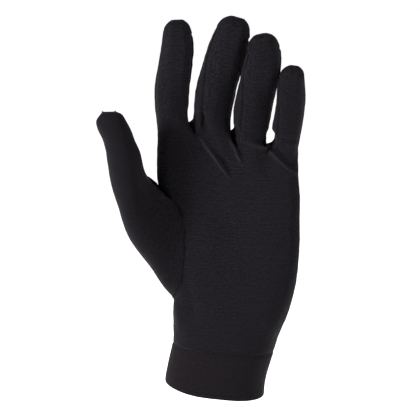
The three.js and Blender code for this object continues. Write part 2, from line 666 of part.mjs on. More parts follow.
// A piece as one closed body: its outer face, the same face a wall's thickness further in, and the cut
// edges between them.
function clothBody(web, shared, piece, wall, isSeam = () => true) {
  const faces = web.faces.filter((face) => face.piece === piece);
  const edges = pieceEdges(faces);
  const { normals, steps } = seamSteps(web, shared, faces, edges, isSeam);
  const placed = new Map();
  const positions = [];
  const place = (i) => {
    if (!placed.has(i)) {
      const outer = web.points[i].clone().add(steps.get(i) ?? new THREE.Vector3());
      const inner = outer.clone().addScaledVector(normals[i], -wall);
      placed.set(i, positions.length / 3);
      positions.push(...outer.toArray(), ...inner.toArray());
    }
    return placed.get(i);
  };
  const triangles = [];
  for (const { corners } of faces) {
    const ids = corners.map(place);
    for (let k = 1; k < ids.length - 1; k++) {
      triangles.push(ids[0], ids[k], ids[k + 1]);
      triangles.push(ids[0] + 1, ids[k + 1] + 1, ids[k] + 1);
    }
  }
  for (const [a, b] of edges) {
    const [from, to] = [place(a), place(b)];
    triangles.push(to, from, from + 1);
    triangles.push(to, from + 1, to + 1);
  }
  const geometry = new THREE.BufferGeometry();
  geometry.setAttribute("position", new THREE.Float32BufferAttribute(positions, 3));
  geometry.setIndex(triangles);
  geometry.computeVertexNormals();
  return geometry;
}

const clothLooks = { color: 0x1d1b20, roughness: 0.85, metalness: 0 };
const cuffLooks = { color: 0x211e23, roughness: 0.9, metalness: 0 };

// A piece with its own material.
function named(name, geometry, looks) {
  const mesh = new THREE.Mesh(geometry, new THREE.MeshStandardMaterial(looks));
  mesh.name = name;
  mesh.material.name = name;
  return mesh;
}

const glove = new THREE.Group();
const hand = handWeb();
const handNormals = hand.normals();
for (const name of ["palm_panel", "back_panel", ...fourchetteNames, "thumb"]) {
  glove.add(named(name, clothBody(hand, handNormals, name, clothWall), clothLooks));
}
const cuff = cuffWeb();
const onHem = (i) => i < placesAround;
glove.add(named("cuff_band", clothBody(cuff, cuff.normals(), "cuff_band", cuffWall, (i) => !onHem(i)), cuffLooks));

export default glove;
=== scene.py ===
"""The looks of a thin dark glove liner for the left hand, filled out and held up at its wrist.

Metres in Blender; the sizes of the cloth are named in millimetres. +Z runs up to the fingertips, the
palm faces -Y and the thumb is on the -X side. The origin is the middle of the wrist opening.
"""

import json
import logging
import math
from dataclasses import dataclass, field
from enum import Enum
from functools import partial
from typing import Callable, NamedTuple, Sequence

import bpy
import numpy as np
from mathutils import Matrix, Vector
from mathutils.kdtree import KDTree

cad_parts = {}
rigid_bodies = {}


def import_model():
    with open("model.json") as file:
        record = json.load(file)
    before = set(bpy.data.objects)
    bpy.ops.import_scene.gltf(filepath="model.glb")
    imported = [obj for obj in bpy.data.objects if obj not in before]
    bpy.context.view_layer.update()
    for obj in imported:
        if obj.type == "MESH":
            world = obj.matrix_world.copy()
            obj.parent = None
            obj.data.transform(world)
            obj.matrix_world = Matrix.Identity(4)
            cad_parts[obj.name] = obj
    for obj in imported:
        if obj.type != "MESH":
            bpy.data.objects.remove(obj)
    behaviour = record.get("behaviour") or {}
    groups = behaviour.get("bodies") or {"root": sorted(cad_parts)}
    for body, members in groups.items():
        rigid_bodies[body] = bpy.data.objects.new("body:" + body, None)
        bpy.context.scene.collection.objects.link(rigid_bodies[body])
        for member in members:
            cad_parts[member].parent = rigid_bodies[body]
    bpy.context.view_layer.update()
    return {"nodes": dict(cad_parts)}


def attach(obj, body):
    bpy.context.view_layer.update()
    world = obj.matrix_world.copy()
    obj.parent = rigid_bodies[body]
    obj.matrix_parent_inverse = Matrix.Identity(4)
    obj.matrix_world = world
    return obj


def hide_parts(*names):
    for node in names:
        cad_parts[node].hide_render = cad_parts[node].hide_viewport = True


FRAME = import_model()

LOG = logging.getLogger("glove_liner")
MM = 0.001
MM_PER_CM = 10.0


class Piece(Enum):
    """The cut pieces of cloth that the glove is sewn from, by their CAD node."""

    PALM = "palm_panel"
    BACK = "back_panel"
    INDEX_MIDDLE = "fourchette_index_middle"
    MIDDLE_RING = "fourchette_middle_ring"
    RING_LITTLE = "fourchette_ring_little"
    THUMB = "thumb"
    CUFF = "cuff_band"


FOURCHETTES = (Piece.INDEX_MIDDLE, Piece.MIDDLE_RING, Piece.RING_LITTLE)
HAND_PIECES = (Piece.PALM, Piece.BACK, *FOURCHETTES, Piece.THUMB)


class TubeRow(NamedTuple):
    """A section of the tube of cloth, by its share of the height from hem to forks."""

    up: float
    shift: float
    spread: float
    flat: float
    heel: float
    arch: float
    hollow: float
    corner: float


class LineRow(NamedTuple):
    """A line between two fingers, by its place across each face and its forks' heights."""

    palm: float
    back: float
    fork: float
    fork_back: float


class FingerRow(NamedTuple):
    """A section of any finger, by its share of the finger's length."""

    up: float
    width: float
    depth: float
    side: float


class PathRow(NamedTuple):
    """A point of a finger's middle line, as shares of the finger's length."""

    up: float
    aside: float
    forward: float


class ThumbRow(NamedTuple):
    """A section of the thumb, by the two ends of its long side."""

    near_out: float
    near_up: float
    far_out: float
    far_up: float
    forward: float
    depth: float


class FingerSizes(NamedTuple):
    """A finger's sizes in mm, its roll in degrees, and its middle line."""

    length: float
    width: float
    depth: float
    roll: float
    aside: float
    back: float
    path: tuple[PathRow, ...]


class FoldRow(NamedTuple):
    """A fold of the cloth along a line of (across, up) points in mm, seen from the palm side.

    rise lifts the line itself. Going along the line, sharp is how wide it runs out on its left side and
    soft on its right side. valley sinks the cloth beyond its sharp side.
    """

    line: tuple[tuple[float, float], ...]
    rise: float
    soft: float
    sharp: float
    valley: float = 0.0


class FlatCut(NamedTuple):
    """A piece of cloth as it lies flat: its box in mm and its area in square mm."""

    width: float
    length: float
    area: float


TUBE_ROWS = (
    TubeRow(-0.06, 0.0, 0.0, 0.0, 0.0, 0.0, 0.0, 2.1),
    TubeRow(0.03, 0.06, 0.0, 0.0, 0.0, 0.0, 0.0, 2.1),
    TubeRow(0.12, 0.33, 0.04, 0.0, 0.0, 0.0, 0.0, 2.1),
    TubeRow(0.17, 0.52, 0.09, 0.02, 0.1, 0.0, 0.0, 2.15),
    TubeRow(0.22, 0.63, 0.16, 0.07, 0.3, 0.05, 0.0, 2.2),
    TubeRow(0.3, 0.84, 0.36, 0.18, 0.7, 0.15, 0.1, 2.25),
    TubeRow(0.37, 0.96, 0.5, 0.28, 1.0, 0.3, 0.3, 2.35),
    TubeRow(0.43, 1.0, 0.62, 0.4, 1.0, 0.45, 0.6, 2.4),
    TubeRow(0.56, 0.94, 0.84, 0.66, 0.6, 0.7, 1.0, 2.5),
    TubeRow(0.68, 0.83, 0.96, 0.84, 0.1, 0.85, 1.0, 2.6),
    TubeRow(0.77, 0.79, 1.01, 0.93, -0.2, 0.95, 0.6, 2.6),
    TubeRow(0.87, 0.7, 1.0, 1.02, -0.35, 1.0, 0.2, 2.7),
    TubeRow(0.96, 0.7, 1.0, 1.12, -0.4, 0.9, 0.0, 2.7),
    TubeRow(1.05, 0.76, 1.0, 1.18, -0.4, 0.8, 0.0, 2.7),
)

LINE_ROWS = (
    LineRow(palm=0.0, back=0.0, fork=1.0, fork_back=1.04),
    LineRow(palm=0.25, back=0.16, fork=1.02, fork_back=1.085),
    LineRow(palm=0.56, back=0.46, fork=0.98, fork_back=1.045),
    LineRow(palm=0.815, back=0.75, fork=0.945, fork_back=0.98),
    LineRow(palm=1.0, back=1.0, fork=0.88, fork_back=0.93),
)

FINGER_ROWS = (
    FingerRow(0.0, 0.97, 1.08, 0.84),
    FingerRow(0.12, 0.91, 1.0, 0.86),
    FingerRow(0.35, 1.0, 1.02, 0.9),
    FingerRow(0.52, 0.98, 0.98, 0.93),
    FingerRow(0.68, 0.965, 0.92, 0.95),
    FingerRow(0.8, 0.92, 0.85, 0.96),
    FingerRow(0.88, 0.84, 0.76, 0.965),
    FingerRow(0.94, 0.72, 0.62, 0.97),
    FingerRow(0.975, 0.57, 0.44, 0.975),
    FingerRow(1.0, 0.34, 0.0, 0.98),
)

INDEX_PATH = (
    PathRow(0.0, 0.0, 0.0),
    PathRow(0.2, -0.008, 0.02),
    PathRow(0.38, -0.012, 0.06),
    PathRow(0.57, 0.015, 0.105),
    PathRow(0.77, 0.042, 0.16),
    PathRow(1.0, 0.038, 0.225),
)
MIDDLE_PATH = (
    PathRow(0.0, 0.0, 0.0),
    PathRow(0.2, 0.018, 0.03),
    PathRow(0.42, 0.05, 0.09),
    PathRow(0.6, 0.1, 0.155),
    PathRow(0.8, 0.157, 0.24),
    PathRow(1.0, 0.22, 0.32),
)
RING_PATH = (
    PathRow(0.0, 0.0, 0.0),
    PathRow(0.2, 0.004, 0.05),
    PathRow(0.42, 0.034, 0.125),
    PathRow(0.6, 0.07, 0.205),
    PathRow(0.83, 0.103, 0.32),
    PathRow(1.0, 0.077, 0.405),
)
LITTLE_PATH = (
    PathRow(0.0, 0.0, 0.0),
    PathRow(0.2, 0.012, 0.055),
    PathRow(0.43, 0.042, 0.14),
    PathRow(0.6, 0.06, 0.215),
    PathRow(0.83, 0.06, 0.335),
    PathRow(1.0, 0.088, 0.43),
)

FINGERS = (
    FingerSizes(76.8, 21.7, 19.5, 20.0, -3.1, 1.6, INDEX_PATH),
    FingerSizes(78.8, 25.5, 20.5, 27.0, -0.4, 1.2, MIDDLE_PATH),
    FingerSizes(74.4, 24.6, 20.0, 27.0, 2.6, -0.2, RING_PATH),
    FingerSizes(61.7, 18.6, 17.3, 20.0, 4.0, -0.7, LITTLE_PATH),
)

THUMB_ROWS = (
    ThumbRow(0.0, 0.56, -0.24, 0.01, 0.1, 1.5),
    ThumbRow(0.08, 0.6, -0.05, 0.07, 0.15, 1.5),
    ThumbRow(0.14, 0.63, 0.15, 0.18, 0.29, 1.6),
    ThumbRow(0.19, 0.66, 0.395, 0.29, 0.45, 1.55),
    ThumbRow(0.22, 0.69, 0.55, 0.41, 0.6, 1.38),
    ThumbRow(0.25, 0.74, 0.625, 0.51, 0.71, 1.22),
    ThumbRow(0.28, 0.79, 0.725, 0.63, 0.79, 1.11),
    ThumbRow(0.34, 0.84, 0.775, 0.75, 0.85, 1.0),
    ThumbRow(0.4, 0.9, 0.82, 0.84, 0.91, 0.92),
    ThumbRow(0.46, 0.94, 0.9, 0.9, 0.95, 0.81),
    ThumbRow(0.51, 0.97, 0.93, 0.94, 0.97, 0.67),
    ThumbRow(0.56, 0.99, 0.9, 0.97, 0.99, 0.45),
    ThumbRow(0.64, 1.0, 0.83, 1.0, 1.0, 0.0),
)

FOLD_ROWS = (
    FoldRow(((-13.5, 172.0), (-8.0, 165.0), (-1.6, 156.8), (5.2, 147.2), (13.0, 136.5)), 1.9, 1.6, 1.3, 1.4),
    FoldRow(((8.6, 168.5), (10.6, 164.5), (13.6, 158.8), (19.0, 147.0)), 1.7, 1.4, 1.2, 1.1),
    FoldRow(((14.5, 166.0), (26.5, 162.2), (34.5, 159.8), (46.2, 148.4), (58.0, 138.0)), 1.8, 2.0, 1.3, 2.4),
    FoldRow(((2.0, 137.0), (22.0, 112.0), (38.0, 98.0)), 0.5, 11.0, 11.0),
    FoldRow(((-14.0, 120.0), (6.0, 96.0), (26.0, 84.0)), 0.9, 9.0, 9.0),
    FoldRow(((-22.5, 86.0), (-16.0, 66.0), (-13.0, 36.0)), -1.8, 4.6, 4.6),
    FoldRow(((-27.0, 66.0), (-23.5, 52.0), (-22.5, 40.0)), 0.9, 2.6, 2.6),
    FoldRow(((3.0, 66.0), (2.0, 50.0), (0.0, 34.0)), 0.6, 7.0, 7.0),
    FoldRow(((30.0, 52.0), (37.0, 44.0), (40.0, 36.0)), 0.8, 3.0, 3.0),
    FoldRow(((22.0, 66.0), (24.0, 50.0), (24.0, 32.0)), -0.9, 7.0, 7.0),
    FoldRow(((42.0, 170.0), (48.0, 167.5), (56.0, 169.5)), 0.5, 1.4, 1.0, 0.3),
    FoldRow(((43.0, 164.5), (49.0, 162.0), (56.5, 164.0)), 0.5, 1.4, 1.0, 0.3),
    FoldRow(((-8.0, 202.0), (-4.5, 196.0), (-3.5, 188.0)), 0.45, 1.8, 1.4, 0.25),
    FoldRow(((-3.0, 220.0), (2.0, 214.5), (3.5, 206.5)), 0.3, 2.6, 2.0, 0.15),
    FoldRow(((17.5, 216.0), (20.0, 211.5), (19.0, 204.0)), 0.35, 2.0, 1.6, 0.2),
)

POCKET_ROWS = (
    FoldRow(((-8.5, 187.0), (-7.5, 177.0), (-5.0, 167.0)), -4.5, 3.4, 3.4),
    FoldRow(((13.5, 177.0), (14.0, 170.0), (15.0, 163.5)), -2.5, 2.4, 2.4),
    FoldRow(((36.5, 173.0), (37.0, 167.0), (38.0, 161.0)), -2.5, 2.4, 2.4),
)

THUMB_FOLD_ROWS = (
    FoldRow(((-43.0, 134.5), (-35.0, 130.0), (-28.5, 126.0)), 1.3, 1.8, 1.2, 0.9),
    FoldRow(((-42.0, 129.0), (-35.0, 124.0), (-29.5, 120.5)), 1.0, 1.8, 1.2, 0.8),
    FoldRow(((-40.0, 123.0), (-34.0, 118.5), (-29.5, 112.0)), 0.7, 2.2, 1.5, 0.5),
    FoldRow(((-50.0, 140.0), (-44.0, 133.0), (-41.0, 124.0)), 0.6, 2.6, 2.0, 0.3),
)


def lerp(a: float, b: float, t: float | np.ndarray) -> float | np.ndarray:
    """The value at a share of the way from one value to another."""
    return a + (b - a) * t


def ease(value: np.ndarray | float, low: float, high: float) -> np.ndarray | float:
    """A smooth step from 0 at low to 1 at high, for one value or an array of them."""
    t = np.clip((value - low) / (high - low), 0.0, 1.0)
    return t * t * (3.0 - 2.0 * t)


def row_at(table: Sequence, up: float) -> NamedTuple:
    """Reads a table at a value of its column up, on a smooth curve through the rows.

    Args:
        table: Rows of one kind, in the order of their column up.
        up: The value of that column to read at.

    Returns:
        A row of the same kind.
    """
    last = len(table) - 1
    value = min(max(up, table[0].up), table[last].up)
    i = 0
    while i < last - 1 and value > table[i + 1].up:
        i += 1
    span = table[i + 1].up - table[i].up
    t = (value - table[i].up) / span

    def slope(n: int, column: int) -> float:
        """A column's slope at a row, over the present span."""
        below, above = table[max(n - 1, 0)], table[min(n + 1, last)]
        return (above[column] - below[column]) / (above.up - below.up) * span

    values = []
    for column in range(len(table[0])):
        plain = lerp(table[i][column], table[i + 1][column], t * t * (3 - 2 * t))
        bend = (1 - t) * slope(i, column) - t * slope(i + 1, column)
        values.append(plain + t * (1 - t) * bend)
    return type(table[0])(*values)


def roundness(share: float, squareness: float) -> float:
    """The half depth of a rounded section at a share of its half width, and the reverse."""
    return (1.0 - min(abs(share), 1.0) ** squareness) ** (1.0 / squareness)


def unit(vectors: np.ndarray) -> np.ndarray:
    """Rows of vectors at a length of one."""
    length = np.linalg.norm(vectors, axis=-1, keepdims=True)
    return vectors / np.maximum(length, 1e-12)


@dataclass(frozen=True)
class Ripple:
    """Smooth uneven waves in space, made of a few plain waves in seeded directions.

    Attributes:
        length: The waves' length in mm.
        waves: How many plain waves it holds.
        seed: The seed of their directions.
    """

    length: float
    waves: int = 9
    seed: int = 5

    def at(self, points: np.ndarray) -> np.ndarray:
        """The height of the waves at each point.

        Args:
            points: Rows of x, y and z in mm.

        Returns:
            One height per point, mostly between -1 and 1.
        """
        rng = np.random.default_rng(self.seed)
        ways = unit(rng.normal(size=(self.waves, 3)))
        pace = rng.uniform(0.7, 1.4, self.waves) * 2 * math.pi / self.length
        start = rng.uniform(0, 2 * math.pi, self.waves)
        return np.sin((points @ ways.T) * pace + start).sum(axis=1) / math.sqrt(self.waves)


PUCKER_RIPPLE = Ripple(4.5, seed=3)
CLOTH_RIPPLES = ((0.1, Ripple(17.0, seed=8)), (0.05, Ripple(8.0, seed=2)))
HEM_RIPPLE = Ripple(38.0, seed=4)


@dataclass
class HandSizes:
    """The sizes of the tube of cloth round the wrist and the hand, in mm, and the counts of its cage."""

    cuff_height: float = 29.0
    hand_height: float = 135.5
    wrist_width: float = 65.4
    wrist_thickness: float = 43.0
    palm_width: float = 91.9
    palm_thickness: float = 27.0
    palm_arch: float = 5.0
    palm_hollow: float = 3.0
    hand_shift: float = 12.8
    heel_reach: float = 3.0
    hem_slope: tuple[float, float] = (-0.145, 0.145)
    seam_slope: tuple[float, float] = (-0.08, 0.07)
    finger_sink: float = 3.0
    thumb_height: float = 124.5
    thumb_reach: float = 42.0
    thumb_forward: float = 31.0
    thumb_depth: float = 21.0
    thumb_aside: float = -10.7
    opening_low: float = 0.24
    opening_high: float = 0.76
    opening_reach: float = 4.2
    opening_egg: float = 0.3
    finger_columns: int = 5
    side_columns: int = 4
    hand_rows: int = 18
    finger_rings: int = 9
    fourchette_rings: int = 7
    opening_first: int = 5
    opening_rows: int = 8
    opening_columns: int = 8
    smoothing_rounds: int = 400

    @property
    def tube_height(self) -> float:
        """The height from the hem to the forks."""
        return self.cuff_height + self.hand_height

    @property
    def hand_columns(self) -> int:
        """Columns across each face of the hand."""
        return 4 * self.finger_columns


@dataclass
class Tube:
    """The tube of cloth round the wrist and the hand, which is read by a place round it and a height.

    Attributes:
        sizes: The hand's sizes.
        corner: The share of the half width at which a face turns into a side.
        hollow_spread: How far the hollow of the palm spreads across it.
        slope_rounds: How often a point's height is mended to lie on a sloping plane.
    """

    sizes: HandSizes
    corner: float = 0.88
    hollow_spread: float = 0.45
    slope_rounds: int = 4

    def __post_init__(self) -> None:
        """Sets the places of the corners and the side seams, counted from the index finger's corner."""
        sides = self.sizes.side_columns
        self.ulnar = self.sizes.hand_columns
        self.back = self.ulnar + sides
        self.radial = self.back + self.sizes.hand_columns
        self.around = self.radial + sides
        self.thumb = self.radial + sides // 2
        self.little = self.ulnar + sides // 2

    def line_value(self, column: float, key: str) -> float:
        """Reads the table of lines at a column of the hand.

        Args:
            column: The column, which may lie between two.
            key: The name of the table's column.

        Returns:
            The table's value there.
        """
        each = self.sizes.finger_columns
        finger = min(max(int(column // each), 0), len(FINGERS) - 1)
        t = column / each - finger
        return lerp(getattr(LINE_ROWS[finger], key), getattr(LINE_ROWS[finger + 1], key), t)

    def side_share(self, k: float, squareness: float, corner: float | None = None) -> tuple[float, float]:
        """Shares of half width and half depth at a step round a rounded section's side.

        Args:
            k: The step, counted from the palm's corner.
            squareness: How square the section is.
            corner: Where the side starts across the section. Left out, it's the tube's own.

        Returns:
            The shares across and back.
        """
        turn = math.asin(roundness(self.corner if corner is None else corner, squareness))
        deep = math.sin(lerp(-turn, turn, k / self.sizes.side_columns))
        return roundness(deep, squareness), deep

    def share(self, place: float, squareness: float) -> tuple[float, float]:
        """Shares of half width and half depth at a place round the tube.

        Args:
            place: The place, which may lie between two columns.
            squareness: How square the section is.

        Returns:
            The shares across and back.
        """
        at = place % self.around
        if at <= self.ulnar:
            wide = lerp(-self.corner, self.corner, self.line_value(at, "palm"))
            return wide, -roundness(wide, squareness)
        if at < self.back:
            return self.side_share(at - self.ulnar, squareness)
        if at <= self.radial:
            wide = lerp(-self.corner, self.corner, self.line_value(self.radial - at, "back"))
            return wide, roundness(wide, squareness)
        wide, deep = self.side_share(self.around - at, squareness)
        return -wide, deep

    def point(self, place: float, height: float, grow: float = 0.0) -> np.ndarray:
        """A point of the tube's outer face.

        Args:
            place: The place round the tube.
            height: The height above the hem, in mm.
            grow: How far outside the face the point lies.

        Returns:
            The point, in mm.
        """
        s = self.sizes
        row = row_at(TUBE_ROWS, height / s.tube_height)
        wide, deep = self.share(place, row.corner)
        half_width = lerp(s.wrist_width, s.palm_width, row.spread) / 2
        half_depth = lerp(s.wrist_thickness, s.palm_thickness, row.flat) / 2
        hollow = math.exp(-((wide / self.hollow_spread) ** 2)) if deep < 0 else 0.0
        dent = row.hollow * s.palm_hollow * hollow
        arch = row.arch * s.palm_arch * (0.5 - wide * wide)
        forward = row.heel * s.heel_reach
        across = row.shift * s.hand_shift + wide * (half_width + grow)
        return np.array([across, deep * (half_depth + grow) + dent + arch - forward, height])

    def sloped_height(self, place: float, height: float, slope: tuple[float, float]) -> float:
        """The height at which the tube's face meets a sloping plane.

        Args:
            place: The place round the tube.
            height: The height at which the plane crosses the tube's axis.
            slope: The plane's rise per mm across and back.

        Returns:
            The height, in mm.
        """
        point = self.point(place, height)
        for _ in range(self.slope_rounds):
            point = self.point(place, height + slope[0] * point[0] + slope[1] * point[1])
        return float(point[2])

    def fork_height(self, place: float) -> float:
        """The height of the forks' line at a place of the hand's top row.

        Args:
            place: The place round the tube.

        Returns:
            The height, in mm.
        """

        def share(at: float) -> float:
            """The share of the hand's height at a place on either face."""
            on_palm = at <= self.ulnar
            return self.line_value(at if on_palm else self.radial - at, "fork" if on_palm else "fork_back")

        if self.ulnar < place < self.back:
            step = (place - self.ulnar) / (self.back - self.ulnar)
            value = lerp(share(self.ulnar), share(self.back), step)
        elif place > self.radial:
            step = (place - self.around) / (self.radial - self.around)
            value = lerp(share(0), share(self.radial), step)
        else:
            value = share(place)
        return self.sizes.cuff_height + self.sizes.hand_height * value


@dataclass
class Web:
    """The outer face of the cloth as a coarse cage: shared points, and faces that belong to a piece.

    Attributes:
        points: Places in mm.
        faces: Corners of each face, by the points' numbers.
        pieces: The piece that each face belongs to.
        grain: The place on the knit of each corner of each face, in mm.
    """

    points: list[np.ndarray] = field(default_factory=list)
    faces: list[list[int]] = field(default_factory=list)
    pieces: list[Piece] = field(default_factory=list)
    grain: list[list[tuple[float, float]]] = field(default_factory=list)

    def add(self, point: np.ndarray) -> int:
        """Adds a point and gives its number."""
        self.points.append(np.asarray(point, float))
        return len(self.points) - 1

    def face(self, piece: Piece, corners: Sequence[int], grain: Sequence[tuple[float, float]]) -> None:
        """Adds a face. Corners that fall together are left out.

        Args:
            piece: The piece of cloth that the face belongs to.
            corners: The points' numbers, counter-clockwise from outside.
            grain: The place on the knit at each corner.
        """
        kept = [i for i, c in enumerate(corners) if c != corners[(i + 1) % len(corners)]]
        if len(kept) > 2:
            self.faces.append([corners[i] for i in kept])
            self.pieces.append(piece)
            self.grain.append([grain[i] for i in kept])

    def band(
        self,
        lower: Sequence[int],
        upper: Sequence[int],
        piece_at: Callable[[int], Piece],
        grain_at: Callable[[int], tuple[float, float]],
        heights: tuple[Sequence[float], Sequence[float]],
    ) -> None:
        """Joins two rings of the same count.

        Args:
            lower: The lower ring's points.
            upper: The upper ring's points.
            piece_at: Names the piece of the face at each step.
            grain_at: Gives where on the knit's width a step starts and ends, in mm.
            heights: Where on the knit's length each point of the two rings lies, in mm.
        """
        count = len(lower)
        below, above = heights
        for k in range(count):
            n = (k + 1) % count
            start, end = grain_at(k)
            grain = [(start, below[k]), (end, below[n]), (end, above[n]), (start, above[k])]
            self.face(piece_at(k), [lower[k], lower[n], upper[n], upper[k]], grain)


@dataclass
class HandWeb:
    """Builds the cage of the hand, the four fingers and the thumb.

    Attributes:
        sizes: The hand's sizes.
        column_pitch: The knit's width across one column of the cage, in mm.
        root_roll: The share of its roll that a finger has at its root.
        roll_end: The share of a finger's length where its roll is full.
        unroll: The shares of its length between which a finger turns back.
        roll_left: The share of its roll that is left at the tip.
        root_blend: Over how many rings a finger takes its own section.
        thumb_blend: Over how many rings the thumb does.
        tip_crowding: How much closer the rings lie towards a tip.
        path_step: The share of a finger's length over which its direction is taken.
        squareness: How square a finger's section is.
        palm_dip: How far the palm sinks beside a fork, in mm.
        back_dip: How far the back sinks beside a fork, in mm.
        dip_columns: How many columns wide those dips are.
        dip_rows: How many rows down those dips run.
        thumb_cap: The knit's length over the thumb's tip, in mm.
    """

    sizes: HandSizes
    column_pitch: float = 4.6
    root_roll: float = 0.5
    roll_end: float = 0.35
    unroll: tuple[float, float] = (0.42, 0.68)
    roll_left: float = 0.25
    root_blend: float = 1.2
    thumb_blend: float = 3.0
    tip_crowding: float = 1.35
    path_step: float = 0.04
    squareness: float = 2.4
    palm_dip: float = 2.5
    back_dip: float = 4.5
    dip_columns: float = 1.3
    dip_rows: float = 3.0
    thumb_cap: float = 3.0

    def __post_init__(self) -> None:
        """Starts an empty web on the tube of cloth."""
        self.tube = Tube(self.sizes)
        self.web = Web()

    def build(self) -> Web:
        """Builds the hand, then the fingers and the thumb on it.

        Returns:
            The whole cage.
        """
        grid = self._hand_grid()
        ids = self._add_hand(grid)
        top = ids[self.sizes.hand_rows]
        forks = [self._add_fork(top, f) for f in range(len(FOURCHETTES))]
        for index in range(len(FINGERS)):
            self._add_finger(index, top, forks)
        self._add_thumb(ids)
        return self.web

    def _opening_loop(self) -> list[tuple[int, int, float]]:
        """The loop of points round the thumb's opening.

        Returns:
            Each point's row, its place round the hand and its angle on the oval.
        """
        s = self.sizes
        start = self.tube.thumb - s.opening_columns // 2
        end = start + s.opening_columns
        first, count = s.opening_first, s.opening_rows
        loop: list[tuple[int, int, float]] = []
        sides = (
            (s.opening_columns, -1.5, lambda k: (first, start + k)),
            (count, -0.5, lambda k: (first + k, end)),
            (s.opening_columns, 0.5, lambda k: (first + count, end - k)),
            (count, 1.5, lambda k: (first + count - k, start)),
        )
        for steps, turn, place_at in sides:
            for k in range(steps):
                angle = (turn + k / steps) * math.pi / 2
                loop.append((*place_at(k), angle))
        return loop

    def _hand_grid(self) -> tuple[np.ndarray, np.ndarray]:
        """Spreads the hand's grid evenly between its seam, its forks and the thumb's opening.

        Returns:
            The shift along the row and the height of every point, by row and place.
        """
        s, tube = self.sizes, self.tube
        rows, around = s.hand_rows + 1, tube.around
        low = np.array([tube.sloped_height(p, s.cuff_height, s.seam_slope) for p in range(around)])
        high = np.array([tube.fork_height(p) for p in range(around)])
        height = low + (high - low) * np.linspace(0, 1, rows)[:, None]
        shift = np.zeros_like(height)
        held = np.zeros(height.shape, bool)
        held[[0, -1]] = True
        middle = s.cuff_height + s.hand_height * (s.opening_low + s.opening_high) / 2
        reach = s.hand_height * (s.opening_high - s.opening_low) / 2
        for row, place, angle in self._opening_loop():
            wide = math.cos(angle) * (1 + s.opening_egg * math.sin(angle))
            shift[row, place % around] = tube.thumb + s.opening_reach * wide - place
            height[row, place % around] = middle + reach * math.sin(angle)
            held[row, place % around] = True
        for _ in range(s.smoothing_rounds):
            for values in (shift, height):
                mean = (np.roll(values, 1, 1) + np.roll(values, -1, 1))[1:-1] + values[:-2] + values[2:]
                values[1:-1] = np.where(held[1:-1], values[1:-1], mean / 4)
            free = ~held[:, [tube.thumb, tube.little]]
            shift[:, [tube.thumb, tube.little]] *= ~free
        return shift, height

    def _dip(self, place: int, row: int) -> float:
        """How far a point of the hand's grid sinks beside a fork.

        Args:
            place: The point's place round the hand.
            row: Its row.

        Returns:
            How far it moves towards +Y, in mm.
        """
        on_palm = place <= self.tube.ulnar
        if not on_palm and not self.tube.back <= place <= self.tube.radial:
            return 0.0
        column = place if on_palm else self.tube.radial - place
        forks = [f * self.sizes.finger_columns for f in (1, 2, 3)]
        near = max(math.exp(-(((column - f) / self.dip_columns) ** 2)) for f in forks)
        rise = float(ease(row, self.sizes.hand_rows - self.dip_rows, self.sizes.hand_rows))
        return near * rise * (self.palm_dip if on_palm else -self.back_dip)

    def _add_hand(self, grid: tuple[np.ndarray, np.ndarray]) -> list[list[int]]:
        """Adds the hand's points and faces.

        Args:
            grid: The shifts and heights of the hand's grid.

        Returns:
            The points' numbers by row and place, -1 inside the thumb's opening.
        """
        s, tube = self.sizes, self.tube
        shift, height = grid
        start = tube.thumb - s.opening_columns // 2
        ids: list[list[int]] = []
        for r in range(s.hand_rows + 1):
            ids.append([])
            for p in range(tube.around):
                column, step = (p - start) % tube.around, r - s.opening_first
                if 0 < column < s.opening_columns and 0 < step < s.opening_rows:
                    ids[r].append(-1)
                    continue
                point = tube.point(p + shift[r, p], height[r, p])
                point[1] += self._dip(p, r)
                ids[r].append(self.web.add(point))
        for r in range(s.hand_rows):
            for p in range(tube.around):
                column, step = (p - start) % tube.around, r - s.opening_first
                if column < s.opening_columns and 0 <= step < s.opening_rows:
                    continue
                n = (p + 1) % tube.around
                piece = Piece.PALM if p < tube.little or p >= tube.thumb else Piece.BACK
                cells = ((r, p, p), (r, n, p + 1), (r + 1, n, p + 1), (r + 1, p, p))
                grain = [((at + shift[i, j]) * self.column_pitch, height[i, j]) for i, j, at in cells]
                self.web.face(piece, [ids[i][j] for i, j, _ in cells], grain)
        return ids

    def _add_fork(self, top: list[int], f: int) -> list[int]:
        """Adds the points between the palm side and the back of a fork.

        Args:
            top: The hand's top row.
            f: The fork's number, from the index finger.

        Returns:
            The whole line of points, from the palm side.
        """
        column = (f + 1) * self.sizes.finger_columns
        front, back = top[column], top[self.tube.radial - column]
        steps = self.sizes.side_columns
        a, b = self.web.points[front], self.web.points[back]
        between = [self.web.add(a + (b - a) * k / steps) for k in range(1, steps)]
        return [front, *between, back]

    def _finger_root(self, index: int, top: list[int], forks: list[list[int]]) -> tuple[list[int], list[int]]:
        """A finger's lowest ring and the place on the hand where each of its steps starts.

        Args:
            index: The finger's number, from the index finger.
            top: The hand's top row.
            forks: The lines of the three forks.

        Returns:
            The ring's points and their places. A fourchette's steps count from nought.
        """
        s, tube = self.sizes, self.tube
        low, high = index * s.finger_columns, (index + 1) * s.finger_columns
        palm, back = list(range(low, high)), list(range(tube.radial - high, tube.radial - low))
        ulnar = forks[index] if index < len(forks) else top[tube.ulnar : tube.back]
        radial = forks[index - 1][::-1] if index > 0 else top[tube.radial :]
        ring = [top[p] for p in palm] + ulnar[: s.side_columns]
        ring += [top[p] for p in back] + radial[: s.side_columns]
        ulnar_from = 0 if index < len(forks) else tube.ulnar
        radial_from = 0 if index > 0 else tube.radial
        steps = range(s.side_columns)
        places = palm + [ulnar_from + k for k in steps] + back + [radial_from + k for k in steps]
        return ring, places

